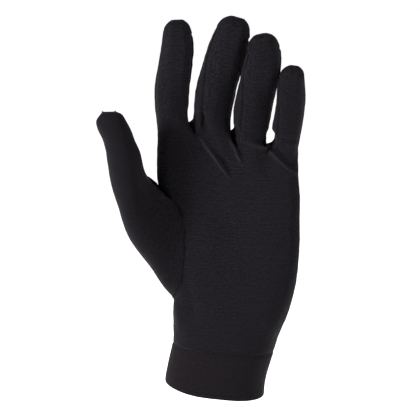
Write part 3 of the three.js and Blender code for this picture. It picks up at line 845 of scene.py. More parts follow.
    def _finger_piece(self, index: int, ring: int, k: int) -> Piece:
        """The piece that a face of a finger belongs to.

        Args:
            index: The finger's number, from the index finger.
            ring: The face's ring, from the root.
            k: The face's step round the finger.

        Returns:
            The piece of cloth.
        """
        s = self.sizes
        side = k - s.finger_columns
        if side < 0:
            return Piece.PALM
        if side < s.side_columns:
            if index < len(FOURCHETTES) and ring < s.fourchette_rings:
                return FOURCHETTES[index]
            return Piece.PALM if side < s.side_columns / 2 else Piece.BACK
        if side < s.side_columns + s.finger_columns:
            return Piece.BACK
        if index > 0 and ring < s.fourchette_rings:
            return FOURCHETTES[index - 1]
        return Piece.BACK if side < 1.5 * s.side_columns + s.finger_columns else Piece.PALM

    def _finger_ring(self, finger: FingerSizes, foot: np.ndarray, up: float) -> np.ndarray:
        """A ring of a finger's own section, square to its middle line.

        Args:
            finger: The finger's sizes.
            foot: Where its middle line starts.
            up: The ring's share of its length.

        Returns:
            The ring's points, one per row.
        """

        def centre(share: float) -> np.ndarray:
            """The middle line at a share of its length."""
            row = row_at(finger.path, share)
            return foot + finger.length * np.array([row.aside, -row.forward, share])

        along = unit(centre(min(up + self.path_step, 1.0)) - centre(max(up - self.path_step, 0.0)))
        roll = math.radians(finger.roll) * lerp(self.root_roll, 1.0, float(ease(up, 0.0, self.roll_end)))
        roll *= lerp(1.0, self.roll_left, float(ease(up, *self.unroll)))
        palmward = np.array([math.sin(roll), -math.cos(roll), 0.0])
        palmward = unit(palmward - along * (palmward @ along))
        aside = np.cross(along, palmward)
        row = row_at(FINGER_ROWS, up)
        columns = self.sizes.finger_columns
        shares = []
        for k in range(columns):
            wide = lerp(-row.side, row.side, k / columns)
            shares.append((wide, -roundness(wide, self.squareness)))
        for k in range(self.sizes.side_columns):
            shares.append(self.tube.side_share(k, self.squareness, row.side))
        shares = np.array(shares + [(-wide, -deep) for wide, deep in shares])
        across = shares[:, :1] * row.width * finger.width / 2 * aside
        deep = -shares[:, 1:] * row.depth * finger.depth / 2 * palmward
        return centre(up) + across + deep

    def _add_finger(self, index: int, top: list[int], forks: list[list[int]]) -> None:
        """Adds a finger: rings that turn from its root's shape into its own section, and a closed tip.

        Args:
            index: The finger's number, from the index finger.
            top: The hand's top row.
            forks: The lines of the three forks.
        """
        finger, s = FINGERS[index], self.sizes
        lower, places = self._finger_root(index, top, forks)
        root = np.array([self.web.points[i] for i in lower])
        middle = root.mean(axis=0)
        foot = middle + np.array([finger.aside, finger.back, -s.finger_sink])

        def grain_at(k: int) -> tuple[float, float]:
            """Where a step round the finger starts and ends across the knit."""
            return places[k] * self.column_pitch, (places[k] + 1) * self.column_pitch

        heights = [float(p[2]) for p in root]
        for ring in range(1, s.finger_rings):
            up = 1 - (1 - ring / s.finger_rings) ** self.tip_crowding
            own = self._finger_ring(finger, foot, up)
            lifted = root + (own.mean(axis=0) - middle)
            blend = float(ease(ring, 0, self.root_blend))
            upper = [self.web.add(p) for p in lifted + (own - lifted) * blend]
            above = [float(foot[2]) + up * finger.length] * len(upper)
            piece_at = partial(self._finger_piece, index, ring - 1)
            self.web.band(lower, upper, piece_at, grain_at, (heights, above))
            lower, heights = upper, above
        tip = self._finger_ring(finger, foot, 1.0)
        piece_at = partial(self._finger_piece, index, s.finger_rings)
        top_grain = float(foot[2]) + finger.length
        self._close_tip(lower, tip, 0, s.finger_columns, piece_at, grain_at, heights, top_grain)

    def _close_tip(
        self,
        ring: list[int],
        tip: np.ndarray,
        start: int,
        line_steps: int,
        piece_at: Callable[[int], Piece],
        grain_at: Callable[[int], tuple[float, float]],
        heights: list[float],
        top: float,
    ) -> None:
        """Closes the top of a finger or thumb: its palm half and its back half meet in one line of points.

        Args:
            ring: The last ring's points.
            tip: The places of the flattened ring above it.
            start: The step at which the line starts.
            line_steps: How many steps long the line is.
            piece_at: Names the piece of the face at each step.
            grain_at: Gives where a step lies across the knit.
            heights: Where the last ring lies along the knit.
            top: Where the line lies along the knit.
        """
        count = len(ring)
        line = [self.web.add(tip[(start + k) % count]) for k in range(line_steps + 1)]
        upper = []
        for i in range(count):
            step = (i - start) % count
            if step <= line_steps:
                upper.append(line[step])
            elif step < count / 2:
                upper.append(line[line_steps])
            else:
                upper.append(line[max(line_steps - (step - count // 2), 0)])
        self.web.band(ring, upper, piece_at, grain_at, (heights, [top] * count))

    def _thumb_ring(self, row: ThumbRow, foot: np.ndarray, angles: np.ndarray) -> np.ndarray:
        """A ring of the thumb's own section, in which each point keeps its angle on the oval opening.

        Args:
            row: The section.
            foot: Where the thumb starts.
            angles: Each point's angle on the opening.

        Returns:
            The ring's points, one per row.
        """
        s = self.sizes
        size = np.array([-s.thumb_reach, -s.thumb_forward, s.thumb_height])
        near = foot + size * np.array([row.near_out, row.forward, row.near_up])
        far = foot + size * np.array([row.far_out, row.forward, row.far_up])
        centre, half = (near + far) / 2, (near - far) / 2
        deep = np.cos(angles) * row.depth * s.thumb_depth / 2
        return centre + np.sin(angles)[:, None] * half + deep[:, None] * np.array([0.0, -1.0, 0.0])

    def _add_thumb(self, ids: list[list[int]]) -> None:
        """Adds the thumb: rings that turn from the oval opening into its own section, and a closed tip.

        Args:
            ids: The hand's points by row and place.
        """
        s, around = self.sizes, self.tube.around
        loop = self._opening_loop()
        lower = [ids[row][place % around] for row, place, _ in loop]
        angles = np.array([angle for _, _, angle in loop])
        root = np.array([self.web.points[i] for i in lower])
        low = s.cuff_height + s.hand_height * s.opening_low
        foot = np.array([root[:, 0].mean() + s.thumb_aside, 0.0, low])
        middle = self._thumb_ring(THUMB_ROWS[0], foot, angles).mean(axis=0)

        def grain_at(k: int) -> tuple[float, float]:
            """Where a step round the thumb starts and ends across the knit."""
            return k * self.column_pitch, (k + 1) * self.column_pitch

        length, heights, last = 0.0, [0.0] * len(lower), middle
        for k, row in enumerate(THUMB_ROWS[1:-1]):
            own = self._thumb_ring(row, foot, angles)
            lifted = root + (own.mean(axis=0) - middle)
            blend = float(ease(k + 1, 0, self.thumb_blend))
            length += float(np.linalg.norm(own.mean(axis=0) - last))
            last = own.mean(axis=0)
            upper = [self.web.add(p) for p in lifted + (own - lifted) * blend]
            above = [length] * len(upper)
            self.web.band(lower, upper, lambda _: Piece.THUMB, grain_at, (heights, above))
            lower, heights = upper, above
        tip = self._thumb_ring(THUMB_ROWS[-1], foot, angles)
        start, line_steps, top_grain = s.opening_columns // 2, len(loop) // 2, length + self.thumb_cap
        self._close_tip(lower, tip, start, line_steps, lambda _: Piece.THUMB, grain_at, heights, top_grain)


@dataclass(frozen=True)
class SeamStyle:
    """How the cloth lies beside its seams, in mm: a groove, a soft roll beside it, and small puckers.

    The shares say how deep each kind of seam lies. The thumb's seam grows shallow towards its low end.

    Attributes:
        groove: The groove's depth.
        groove_width: How far the groove runs out.
        roll: The height of the roll.
        roll_at: Its distance from the seam.
        roll_width: How far the roll runs out.
        pucker: The height of the puckers.
        pucker_reach: How far they run out.
        gap: How far each piece draws back from the seam.
        wall: The cloth's thickness.
        side_share: The depth share of the side seams.
        finger_share: The depth share of the fourchettes' seams.
        thumb_share: The depth share of the thumb's seam.
        thumb_low_share: The part of that share which is left at its low end.
        wrist_share: The depth share of the seam to the cuff.
        thumb_fade: The heights between which the thumb's seam grows to its full depth.
    """

    groove: float = 0.7
    groove_width: float = 0.95
    roll: float = 0.2
    roll_at: float = 2.4
    roll_width: float = 1.5
    pucker: float = 0.16
    pucker_reach: float = 3.5
    gap: float = 0.012
    wall: float = 0.5
    side_share: float = 0.35
    finger_share: float = 0.85
    thumb_share: float = 1.0
    thumb_low_share: float = 0.06
    wrist_share: float = 0.1
    thumb_fade: tuple[float, float] = (72.0, 102.0)

    def profile(self, distance: np.ndarray, share: np.ndarray) -> np.ndarray:
        """How far the cloth stands out at a distance from its seam.

        Args:
            distance: Distances to the nearest seam, in mm.
            share: The share of the full depth that this seam has.

        Returns:
            The rise of the cloth, below 0 in the groove.
        """
        groove = -self.groove * np.exp(-((distance / self.groove_width) ** 2))
        roll = self.roll * np.exp(-(((distance - self.roll_at) / self.roll_width) ** 2))
        return (groove + roll) * share


def placed(name: str, data: bpy.types.ID) -> bpy.types.Object:
    """Puts a new object at the origin of the scene.

    Args:
        name: The object's name.
        data: Its mesh, light or camera.

    Returns:
        The object.
    """
    item = bpy.data.objects.new(name, data)
    bpy.context.scene.collection.objects.link(item)
    return item


def evaluated_mesh(item: bpy.types.Object) -> bpy.types.Mesh:
    """Makes a plain mesh of an object with its modifiers.

    Args:
        item: The object.

    Returns:
        The new mesh.
    """
    graph = bpy.context.evaluated_depsgraph_get()
    graph.update()
    return bpy.data.meshes.new_from_object(item.evaluated_get(graph))


def read_points(mesh: bpy.types.Mesh) -> np.ndarray:
    """Reads the places of a mesh's points.

    Args:
        mesh: The mesh.

    Returns:
        The places, one per row.
    """
    points = np.zeros(len(mesh.vertices) * 3, np.float32)
    mesh.vertices.foreach_get("co", points)
    return points.reshape(-1, 3).astype(float)


@dataclass
class FineSkin:
    """The fine outer face of the sewn hand, in mm, made from the cage by subdivision.

    Attributes:
        points: Places of the points.
        quads: Corners of each face.
        piece_of: The number of each face's piece in HAND_PIECES.
        grain: The place on the knit at each face's corners.
    """

    points: np.ndarray
    quads: np.ndarray
    piece_of: np.ndarray
    grain: np.ndarray

    @classmethod
    def from_web(cls, web: Web, levels: int, fit_rounds: int = 4, fit_share: float = 0.8) -> "FineSkin":
        """Subdivides a cage, which is first swollen until the fine face passes through its points.

        Args:
            web: The cage.
            levels: How often each face is split in four.
            fit_rounds: How often the cage is swollen.
            fit_share: The share of each point's distance that a round makes up.

        Returns:
            The fine face.
        """
        mesh = bpy.data.meshes.new("cage")
        mesh.from_pydata([tuple(p) for p in web.points], [], web.faces)
        layer = mesh.uv_layers.new(name="knit")
        flat = [value for face in web.grain for corner in face for value in corner]
        layer.data.foreach_set("uv", np.array(flat, np.float32))
        for piece in HAND_PIECES:
            mesh.materials.append(bpy.data.materials.new(f"cage_{piece.value}"))
        mesh.polygons.foreach_set("material_index", [HAND_PIECES.index(p) for p in web.pieces])
        cage = placed("cage", mesh)
        modifier = cage.modifiers.new("subdivision", "SUBSURF")
        modifier.levels = modifier.render_levels = 1
        modifier.uv_smooth = "PRESERVE_BOUNDARIES"
        wanted = np.array(web.points)
        held = wanted.copy()
        for _ in range(fit_rounds):
            held += fit_share * (wanted - read_points(evaluated_mesh(cage))[: len(wanted)])
            mesh.vertices.foreach_set("co", held.reshape(-1).astype(np.float32))
            mesh.update()
        modifier.levels = modifier.render_levels = levels
        fine = evaluated_mesh(cage)
        points = read_points(fine)
        corners = np.zeros(len(fine.loops), np.int32)
        fine.loops.foreach_get("vertex_index", corners)
        pieces = np.zeros(len(fine.polygons), np.int32)
        fine.polygons.foreach_get("material_index", pieces)
        grain = np.zeros(len(fine.loops) * 2, np.float32)
        fine.uv_layers["knit"].data.foreach_get("uv", grain)
        for material in list(mesh.materials):
            bpy.data.materials.remove(material)
        bpy.data.objects.remove(cage)
        bpy.data.meshes.remove(mesh)
        bpy.data.meshes.remove(fine)
        return cls(points, corners.reshape(-1, 4), pieces, grain.reshape(-1, 4, 2))

    def normals(self) -> np.ndarray:
        """The outward direction at each point, from the faces round it.

        Returns:
            Directions of length one, one per row.
        """
        p = self.points[self.quads]
        area = np.cross(p[:, 2] - p[:, 0], p[:, 3] - p[:, 1])
        normals = np.zeros_like(self.points)
        for k in range(4):
            np.add.at(normals, self.quads[:, k], area)
        return unit(normals)

    def edges(self) -> tuple[np.ndarray, np.ndarray]:
        """Every edge once, and the pieces on its two sides.

        Returns:
            Pairs of points, and pairs of pieces. The second piece is -1 on the wrist's open edge.
        """
        pairs = np.concatenate([self.quads[:, [k, (k + 1) % 4]] for k in range(4)])
        owner = np.tile(self.piece_of, 4)
        pairs.sort(axis=1)
        order = np.lexsort((pairs[:, 1], pairs[:, 0]))
        pairs, owner = pairs[order], owner[order]
        first = np.ones(len(pairs), bool)
        first[1:] = (pairs[1:] != pairs[:-1]).any(axis=1)
        start = np.flatnonzero(first)
        second = np.where(np.append(start[1:], len(pairs)) - start > 1, start + 1, -1)
        other = np.where(second >= 0, owner[np.maximum(second, 0)], -1)
        return pairs[start], np.stack([owner[start], other], axis=1)


@dataclass(frozen=True)
class FoldField:
    """Lifts and sinks cloth along lines that are placed as seen from the palm side.

    Attributes:
        rows: The folds.
        fade: The share of a fold's length over which it fades out at each end.
        crest_share: How wide the painted highlight on a fold's crest is, as a share of the fold's sharp side.
        valley_at: How far off the valley lies, as a multiple of the sharp side.
        valley_width: How far the valley runs out, as the same.
    """

    rows: tuple[FoldRow, ...]
    fade: float = 0.4
    crest_share: float = 0.6
    valley_at: float = 2.7
    valley_width: float = 2.0

    def lift(self, points: np.ndarray) -> tuple[np.ndarray, np.ndarray]:
        """How far the folds lift each point, and how much painted highlight their crests get.

        Args:
            points: Rows of x, y and z in mm.

        Returns:
            The rise at each point in mm, and the share of painted highlight from 0 to 1.
        """
        total, crest_highlight = np.zeros(len(points)), np.zeros(len(points))
        flat = points[:, [0, 2]]
        for row in self.rows:
            rise, crest = self._row_lift(row, flat)
            total += rise
            crest_highlight = np.maximum(crest_highlight, crest)
        return total, crest_highlight

    def _row_lift(self, row: FoldRow, flat: np.ndarray) -> tuple[np.ndarray, np.ndarray]:
        """The rise and the painted highlight of one fold, which fades out at its two ends.

        Args:
            row: The fold.
            flat: Rows of x and z in mm.

        Returns:
            The rise at each point in mm, and the share of painted highlight from 0 to 1.
        """
        line = np.array(row.line)
        lengths = np.linalg.norm(np.diff(line, axis=0), axis=1)
        best = np.full(len(flat), np.inf)
        side, share = np.zeros(len(flat)), np.zeros(len(flat))
        done = 0.0
        for a, b, length in zip(line[:-1], line[1:], lengths):
            along = (b - a) / length
            offset = flat - a
            t = np.clip(offset @ along, 0.0, length)
            away = offset - t[:, None] * along
            distance = np.linalg.norm(away, axis=1)
            nearer = distance < best
            best = np.where(nearer, distance, best)
            cross = along[0] * offset[:, 1] - along[1] * offset[:, 0]
            side = np.where(nearer, np.sign(cross), side)
            share = np.where(nearer, (done + t) / lengths.sum(), share)
            done += length
        ends = ease(share, 0.0, self.fade) * (1 - ease(share, 1 - self.fade, 1.0))
        width = np.where(side > 0, row.sharp, row.soft)
        rise = row.rise * np.exp(-((best / width) ** 2))
        beyond = (best - self.valley_at * row.sharp) / (self.valley_width * row.sharp)
        sunk = row.valley * np.exp(-(beyond**2))
        # A painted highlight along the crest of each fold that has a valley.
        crest = min(row.valley, 1.0) * np.exp(-((best / (self.crest_share * row.sharp)) ** 2))
        return (rise - np.where(side > 0, sunk, 0.0)) * ends, crest * ends


@dataclass
class SewnHand:
    """The palm, back, fourchettes and thumb, sewn together, with folds and puckers in the cloth.

    Attributes:
        sizes: The hand's sizes.
        seams: How the cloth lies beside its seams.
        levels: How often each face of the cage is split in four.
        facing: Between which shares of a straight look the palm side's folds fade in.
        pocket_depth: Between which distances in front of the tube's middle the pockets fade in, in mm.
        stitch_lift: How far the thread stands out of its groove, in mm.
        objects: The finished pieces.
    """

    sizes: HandSizes
    seams: SeamStyle
    levels: int
    facing: tuple[float, float] = (0.05, 0.5)
    pocket_depth: tuple[float, float] = (-4.0, 4.0)
    stitch_lift: float = 0.25
    objects: dict[Piece, bpy.types.Object] = field(default_factory=dict)

    def build(self) -> None:
        """Makes the fine face, shapes it, and cuts it into its pieces."""
        self.skin = FineSkin.from_web(HandWeb(self.sizes).build(), self.levels)
        pairs, sides = self.skin.edges()
        sewn = (sides[:, 1] >= 0) & (sides[:, 0] != sides[:, 1])
        self.seam_pairs, self.seam_sides = pairs[sewn], sides[sewn]
        self.open_pairs = pairs[sides[:, 1] < 0]
        self._shape_cloth()
        for piece in HAND_PIECES:
            self.objects[piece] = self._cut(piece)

    def _nearest(self, ids: np.ndarray) -> tuple[np.ndarray, np.ndarray]:
        """Finds the nearest of some of the face's points to each of its points.

        Args:
            ids: The numbers of the points to look among.

        Returns:
            For each point of the face, where the nearest one stands in ids, and its distance.
        """
        tree = KDTree(len(ids))
        for n, i in enumerate(ids):
            tree.insert(Vector(self.skin.points[i]), n)
        tree.balance()
        found = [tree.find(Vector(p))[1:] for p in self.skin.points]
        return np.array([n for n, _ in found]), np.array([distance for _, distance in found])

    def _seam_shares(self) -> np.ndarray:
        """The share of the full depth that the seam has at each point of the face.

        Returns:
            The shares, which are 0 away from the seams.
        """
        style = self.seams
        shares = np.zeros(len(self.skin.points))
        thumb = HAND_PIECES.index(Piece.THUMB)
        finger_pieces = [HAND_PIECES.index(piece) for piece in FOURCHETTES]
        on_thumb = (self.seam_sides == thumb).any(axis=1)
        on_finger = np.isin(self.seam_sides, finger_pieces).any(axis=1)
        middle_height = self.skin.points[self.seam_pairs][:, :, 2].mean(axis=1)
        fade = ease(middle_height, *style.thumb_fade)
        value = np.full(len(self.seam_pairs), style.side_share)
        value[on_finger] = style.finger_share
        value[on_thumb] = (style.thumb_share * lerp(style.thumb_low_share, 1.0, fade))[on_thumb]
        for k in range(2):
            np.maximum.at(shares, self.seam_pairs[:, k], value)
        return shares

    def _shape_cloth(self) -> None:
        """Moves the face's points along its normals by the seams, the folds and small ripples."""
        skin, style = self.skin, self.seams
        normals = skin.normals()
        seam_ids, wrist_ids = np.unique(self.seam_pairs), np.unique(self.open_pairs)
        nearest, seam_distance = self._nearest(seam_ids)
        share = self._seam_shares()[seam_ids][nearest]
        wrist_distance = self._nearest(wrist_ids)[1]
        thumb_points = np.zeros(len(skin.points), bool)
        thumb_points[skin.quads[skin.piece_of == HAND_PIECES.index(Piece.THUMB)]] = True
        facing = ease(-normals[:, 1], *self.facing)
        rise = style.profile(seam_distance, share)
        rise += style.profile(wrist_distance, np.full(len(rise), style.wrist_share))
        pucker = style.pucker * share * np.exp(-seam_distance / style.pucker_reach)
        rise += pucker * PUCKER_RIPPLE.at(skin.points)
        for height, ripple in CLOTH_RIPPLES:
            rise += height * ripple.at(skin.points)
        # The folds also give where a highlight is painted on their crests.
        folds, self.crest_highlight = FoldField(FOLD_ROWS).lift(skin.points)
        self.crest_highlight *= facing * ~thumb_points
        rise += folds * facing * ~thumb_points
        rise += FoldField(THUMB_FOLD_ROWS).lift(skin.points)[0] * facing
        in_front = ease(-skin.points[:, 1], *self.pocket_depth)
        rise += FoldField(POCKET_ROWS).lift(skin.points)[0] * in_front
        self.normals = normals
        skin.points += normals * rise[:, None]

    def _cut(self, piece: Piece) -> bpy.types.Object:
        """Cuts one piece out of the face, draws it in at its seams and gives it a wall.

        Args:
            piece: The piece to cut.

        Returns:
            The piece's object.
        """
        skin, style = self.skin, self.seams
        chosen = skin.piece_of == HAND_PIECES.index(piece)
        quads, grain = skin.quads[chosen], skin.grain[chosen]
        ids, local = np.unique(quads, return_inverse=True)
        local = local.reshape(quads.shape)
        points, normals = skin.points[ids].copy(), self.normals[ids]
        inward = np.zeros_like(points)
        middles = skin.points[quads].mean(axis=1)
        for k in range(4):
            np.add.at(inward, local[:, k], middles - points[local[:, k]])
        inward -= normals * (inward * normals).sum(axis=1, keepdims=True)
        on_seam = np.isin(ids, self.seam_pairs)
        points[on_seam] += unit(inward[on_seam]) * style.gap
        name = f"{piece.value}_cloth"
        mesh = cloth_mesh(name, points, local.tolist(), grain)
        # Stores the painted highlight on fold crests as a point attribute.
        crest_highlight = mesh.attributes.new("crest_highlight", "FLOAT", "POINT")
        crest_highlight.data.foreach_set("value", self.crest_highlight[ids].astype(np.float32))
        face = placed(name + "_face", mesh)
        solidify = face.modifiers.new("wall", "SOLIDIFY")
        solidify.thickness = style.wall * MM
        solidify.offset = -1.0
        return baked(face, name)


def cloth_mesh(name: str, points: np.ndarray, quads: list[list[int]], grain: np.ndarray) -> bpy.types.Mesh:
    """Makes a smooth mesh of cloth.

    Args:
        name: The mesh's name.
        points: Places of its points, in mm.
        quads: Corners of its faces, counter-clockwise from outside.
        grain: The place on the knit at each face's corners, in mm.

    Returns:
        The mesh, with a UV map named knit whose unit is a centimetre.
    """
    mesh = bpy.data.meshes.new(name)
    mesh.from_pydata((points * MM).tolist(), [], quads)
    layer = mesh.uv_layers.new(name="knit")
    layer.data.foreach_set("uv", (grain.reshape(-1) / MM_PER_CM).astype(np.float32))
    mesh.polygons.foreach_set("use_smooth", [True] * len(mesh.polygons))
    return mesh


def baked(source: bpy.types.Object, name: str) -> bpy.types.Object:
    """Turns an object with modifiers into a plain mesh object, and removes the source.

    Args:
        source: The object to bake.
        name: The new object's name.

    Returns:
        The new object, at the origin.
    """
    mesh = evaluated_mesh(source)
    mesh.name = name
    old = source.data
    bpy.data.objects.remove(source)
    if old.users == 0:
        bpy.data.meshes.remove(old)
    return placed(name, mesh)


@dataclass
class CuffBand:
    """The folded band round the wrist: one cloth that runs down outside, round the hem and up inside.

    Attributes:
        sizes: The hand's sizes.
        wall: The folded band's thickness, in mm.
        proud: How far it stands outside the tube.
        places: How many steps it has round the wrist.
        wall_steps: How many steps it has up each side.
        turn_steps: How many steps it has round the hem.
        cloth_length: The knit's length round the wrist, in mm.
        swell: How far its outside bulges, in mm.
        swell_power: How full the bulge is, where less than one is fuller.
        hem_wave: How far the hem waves up and down, in mm.
        hem_reach: The depths below the origin between which the hem's waves fade in, in mm.
        seam_proud: How far its upper edge stands outside the tube, in mm.
        tuck_share: The share of its height over which it draws in towards that edge.
        tuck_height: How far it runs up beyond the seam, in mm.
    """

    sizes: HandSizes
    wall: float = 1.7
    proud: float = 0.55
    places: int = 192
    wall_steps: int = 40
    turn_steps: int = 6
    cloth_length: float = 185.0
    swell: float = 0.3
    swell_power: float = 0.7
    hem_wave: float = 0.35
    hem_reach: tuple[float, float] = (-16.0, 4.0)
    seam_proud: float = -0.6
    tuck_share: float = 0.17
    tuck_height: float = 1.6

    def build(self) -> bpy.types.Object:
        """Makes the band as one closed ring.

        Returns:
            The band's object.
        """
        tube = Tube(self.sizes)
        profile = self._profile()
        points = np.zeros((self.places, len(profile), 3))
        for p in range(self.places):
            place = p * tube.around / self.places
            low = tube.sloped_height(place, 0.0, self.sizes.hem_slope)
            seam = tube.sloped_height(place, self.sizes.cuff_height, self.sizes.seam_slope)
            high = seam + self.tuck_height
            for k, (share, grow, rise) in enumerate(profile):
                points[p, k] = tube.point(place, lerp(low, high, share) + rise, grow)
        flat = points.reshape(-1, 3)
        flat[:, 2] += self.hem_wave * HEM_RIPPLE.at(flat) * ease(-flat[:, 2], *self.hem_reach)
        quads, grain = [], []
        count = len(profile)
        travel = np.cumsum(np.linalg.norm(np.diff(points[0], axis=0, append=points[0][:1]), axis=1))
        pitch = self.cloth_length / self.places
        for p in range(self.places):
            n = (p + 1) % self.places
            for k in range(count):
                m = (k + 1) % count
                quads.append([p * count + k, p * count + m, n * count + m, n * count + k])
                start, end = p * pitch, (p + 1) * pitch
                below, above = (travel[k - 1] if k else 0.0), travel[k]
                grain.append([(start, -below), (start, -above), (end, -above), (end, -below)])
        return placed("cuff_band_cloth", cloth_mesh("cuff_band_cloth", flat, quads, np.array(grain)))

    def _profile(self) -> list[tuple[float, float, float]]:
        """The band's cut edge as a closed loop.

        Returns:
            The share of the band's height, the distance outwards and the rise in mm at each point.
        """
        radius = self.wall / 2
        loop: list[tuple[float, float, float]] = []
        for k in range(self.wall_steps + 1):
            share = 1 - k / self.wall_steps
            bulge = self.swell * math.sin(math.pi * share) ** self.swell_power
            tuck = (self.proud - self.seam_proud) * float(ease(share, 1 - self.tuck_share, 1.0))
            loop.append((share, self.proud + bulge - tuck, lerp(radius, 0.0, share)))
        for k in range(1, self.turn_steps):
            angle = math.pi * k / self.turn_steps
            out = self.proud - radius + radius * math.cos(angle)
            loop.append((0.0, out, radius - radius * math.sin(angle)))
        for k in range(self.wall_steps + 1):
            share = k / self.wall_steps
            loop.append((share, self.proud - self.wall, lerp(radius, 0.0, share)))
        return loop


@dataclass
class SeamStitches:
    """The thread that shows in the seams: short stitches across each groove, made by a node tree.

    Attributes:
        pitch: How far apart the stitches lie, in mm.
        length: How long a stitch is, in mm.
        radius: The thread's radius, in mm.
        segments: How many sides a stitch has.
        rings: How many rings of faces it has from end to end.
    """

    pitch: float = 1.5
    length: float = 1.5
    radius: float = 0.13
    segments: int = 6
    rings: int = 4

    def build(
        self,
        name: str,
        points: np.ndarray,
        normals: np.ndarray,
        pairs: np.ndarray,
        material: bpy.types.Material,
    ) -> bpy.types.Object:
        """Lays stitches along lines of points.

        Args:
            name: The piece's name.
            points: Places in mm.
            normals: The cloth's outward direction at each point.
            pairs: Pairs of points that make the lines.
            material: The thread's material.

        Returns:
            The stitches' object, as a plain mesh.
        """
        ids, local = np.unique(pairs, return_inverse=True)
        mesh = bpy.data.meshes.new(name)
        mesh.from_pydata((points[ids] * MM).tolist(), local.reshape(-1, 2).tolist(), [])
        layer = mesh.attributes.new("outward", "FLOAT_VECTOR", "POINT")
        layer.data.foreach_set("vector", normals[ids].reshape(-1).astype(np.float32))
        lines = placed(name + "_lines", mesh)
        tree = self._tree()
        modifier = lines.modifiers.new("stitches", "NODES")
        modifier.node_group = tree
        values = {
            "Pitch": self.pitch * MM,
            "Length": self.length * MM,
            "Radius": self.radius * MM,
            "Thread": material,
        }
        for item in tree.interface.items_tree:
            if item.item_type == "SOCKET" and item.name in values:
                modifier[item.identifier] = values[item.name]
        return baked(lines, name)

    def _tree(self) -> bpy.types.NodeTree:
        """Makes the node tree that lays one stitch per pitch across the lines it is given.

        Returns:
            The tree, with the inputs Pitch, Length, Radius and Thread.
        """
        tree = bpy.data.node_groups.new("seam_stitches", "GeometryNodeTree")
        tree.interface.new_socket("Geometry", in_out="INPUT", socket_type="NodeSocketGeometry")
        for name in ("Pitch", "Length", "Radius"):
            tree.interface.new_socket(name, in_out="INPUT", socket_type="NodeSocketFloat")
        tree.interface.new_socket("Thread", in_out="INPUT", socket_type="NodeSocketMaterial")
        tree.interface.new_socket("Geometry", in_out="OUTPUT", socket_type="NodeSocketGeometry")
        add, link = tree.nodes.new, tree.links.new
        source, result = add("NodeGroupInput"), add("NodeGroupOutput")
        curve, even = add("GeometryNodeMeshToCurve"), add("GeometryNodeResampleCurve")
        even.mode = "LENGTH"
        outward, tangent = add("GeometryNodeInputNamedAttribute"), add("GeometryNodeInputTangent")
        outward.data_type = "FLOAT_VECTOR"
        outward.inputs["Name"].default_value = "outward"
        turn = add("FunctionNodeAxesToRotation")
        turn.primary_axis, turn.secondary_axis = "Z", "X"
        ball = add("GeometryNodeMeshUVSphere")
        ball.inputs["Segments"].default_value = self.segments
        ball.inputs["Rings"].default_value = self.rings
        ball.inputs["Radius"].default_value = 1.0
        half = add("ShaderNodeMath")
        half.operation = "MULTIPLY"
        half.inputs[1].default_value = 0.5
        size = add("ShaderNodeCombineXYZ")
        place = add("GeometryNodeInstanceOnPoints")
        real, dress = add("GeometryNodeRealizeInstances"), add("GeometryNodeSetMaterial")
        smooth = add("GeometryNodeSetShadeSmooth")
        link(source.outputs["Geometry"], curve.inputs["Mesh"])
        link(curve.outputs["Curve"], even.inputs["Curve"])
        link(source.outputs["Pitch"], even.inputs["Length"])
        link(outward.outputs["Attribute"], turn.inputs[0])
        link(tangent.outputs["Tangent"], turn.inputs[1])
        link(source.outputs["Length"], half.inputs[0])
        link(source.outputs["Radius"], size.inputs["X"])
        link(half.outputs["Value"], size.inputs["Y"])
        link(source.outputs["Radius"], size.inputs["Z"])
        link(even.outputs["Curve"], place.inputs["Points"])
        link(ball.outputs["Mesh"], place.inputs["Instance"])
        link(turn.outputs["Rotation"], place.inputs["Rotation"])
        link(size.outputs["Vector"], place.inputs["Scale"])
        link(place.outputs["Instances"], real.inputs["Geometry"])
        link(real.outputs["Geometry"], smooth.inputs["Geometry"])
        link(smooth.outputs["Geometry"], dress.inputs["Geometry"])
        link(source.outputs["Thread"], dress.inputs["Material"])
        link(dress.outputs["Geometry"], result.inputs["Geometry"])
        return tree


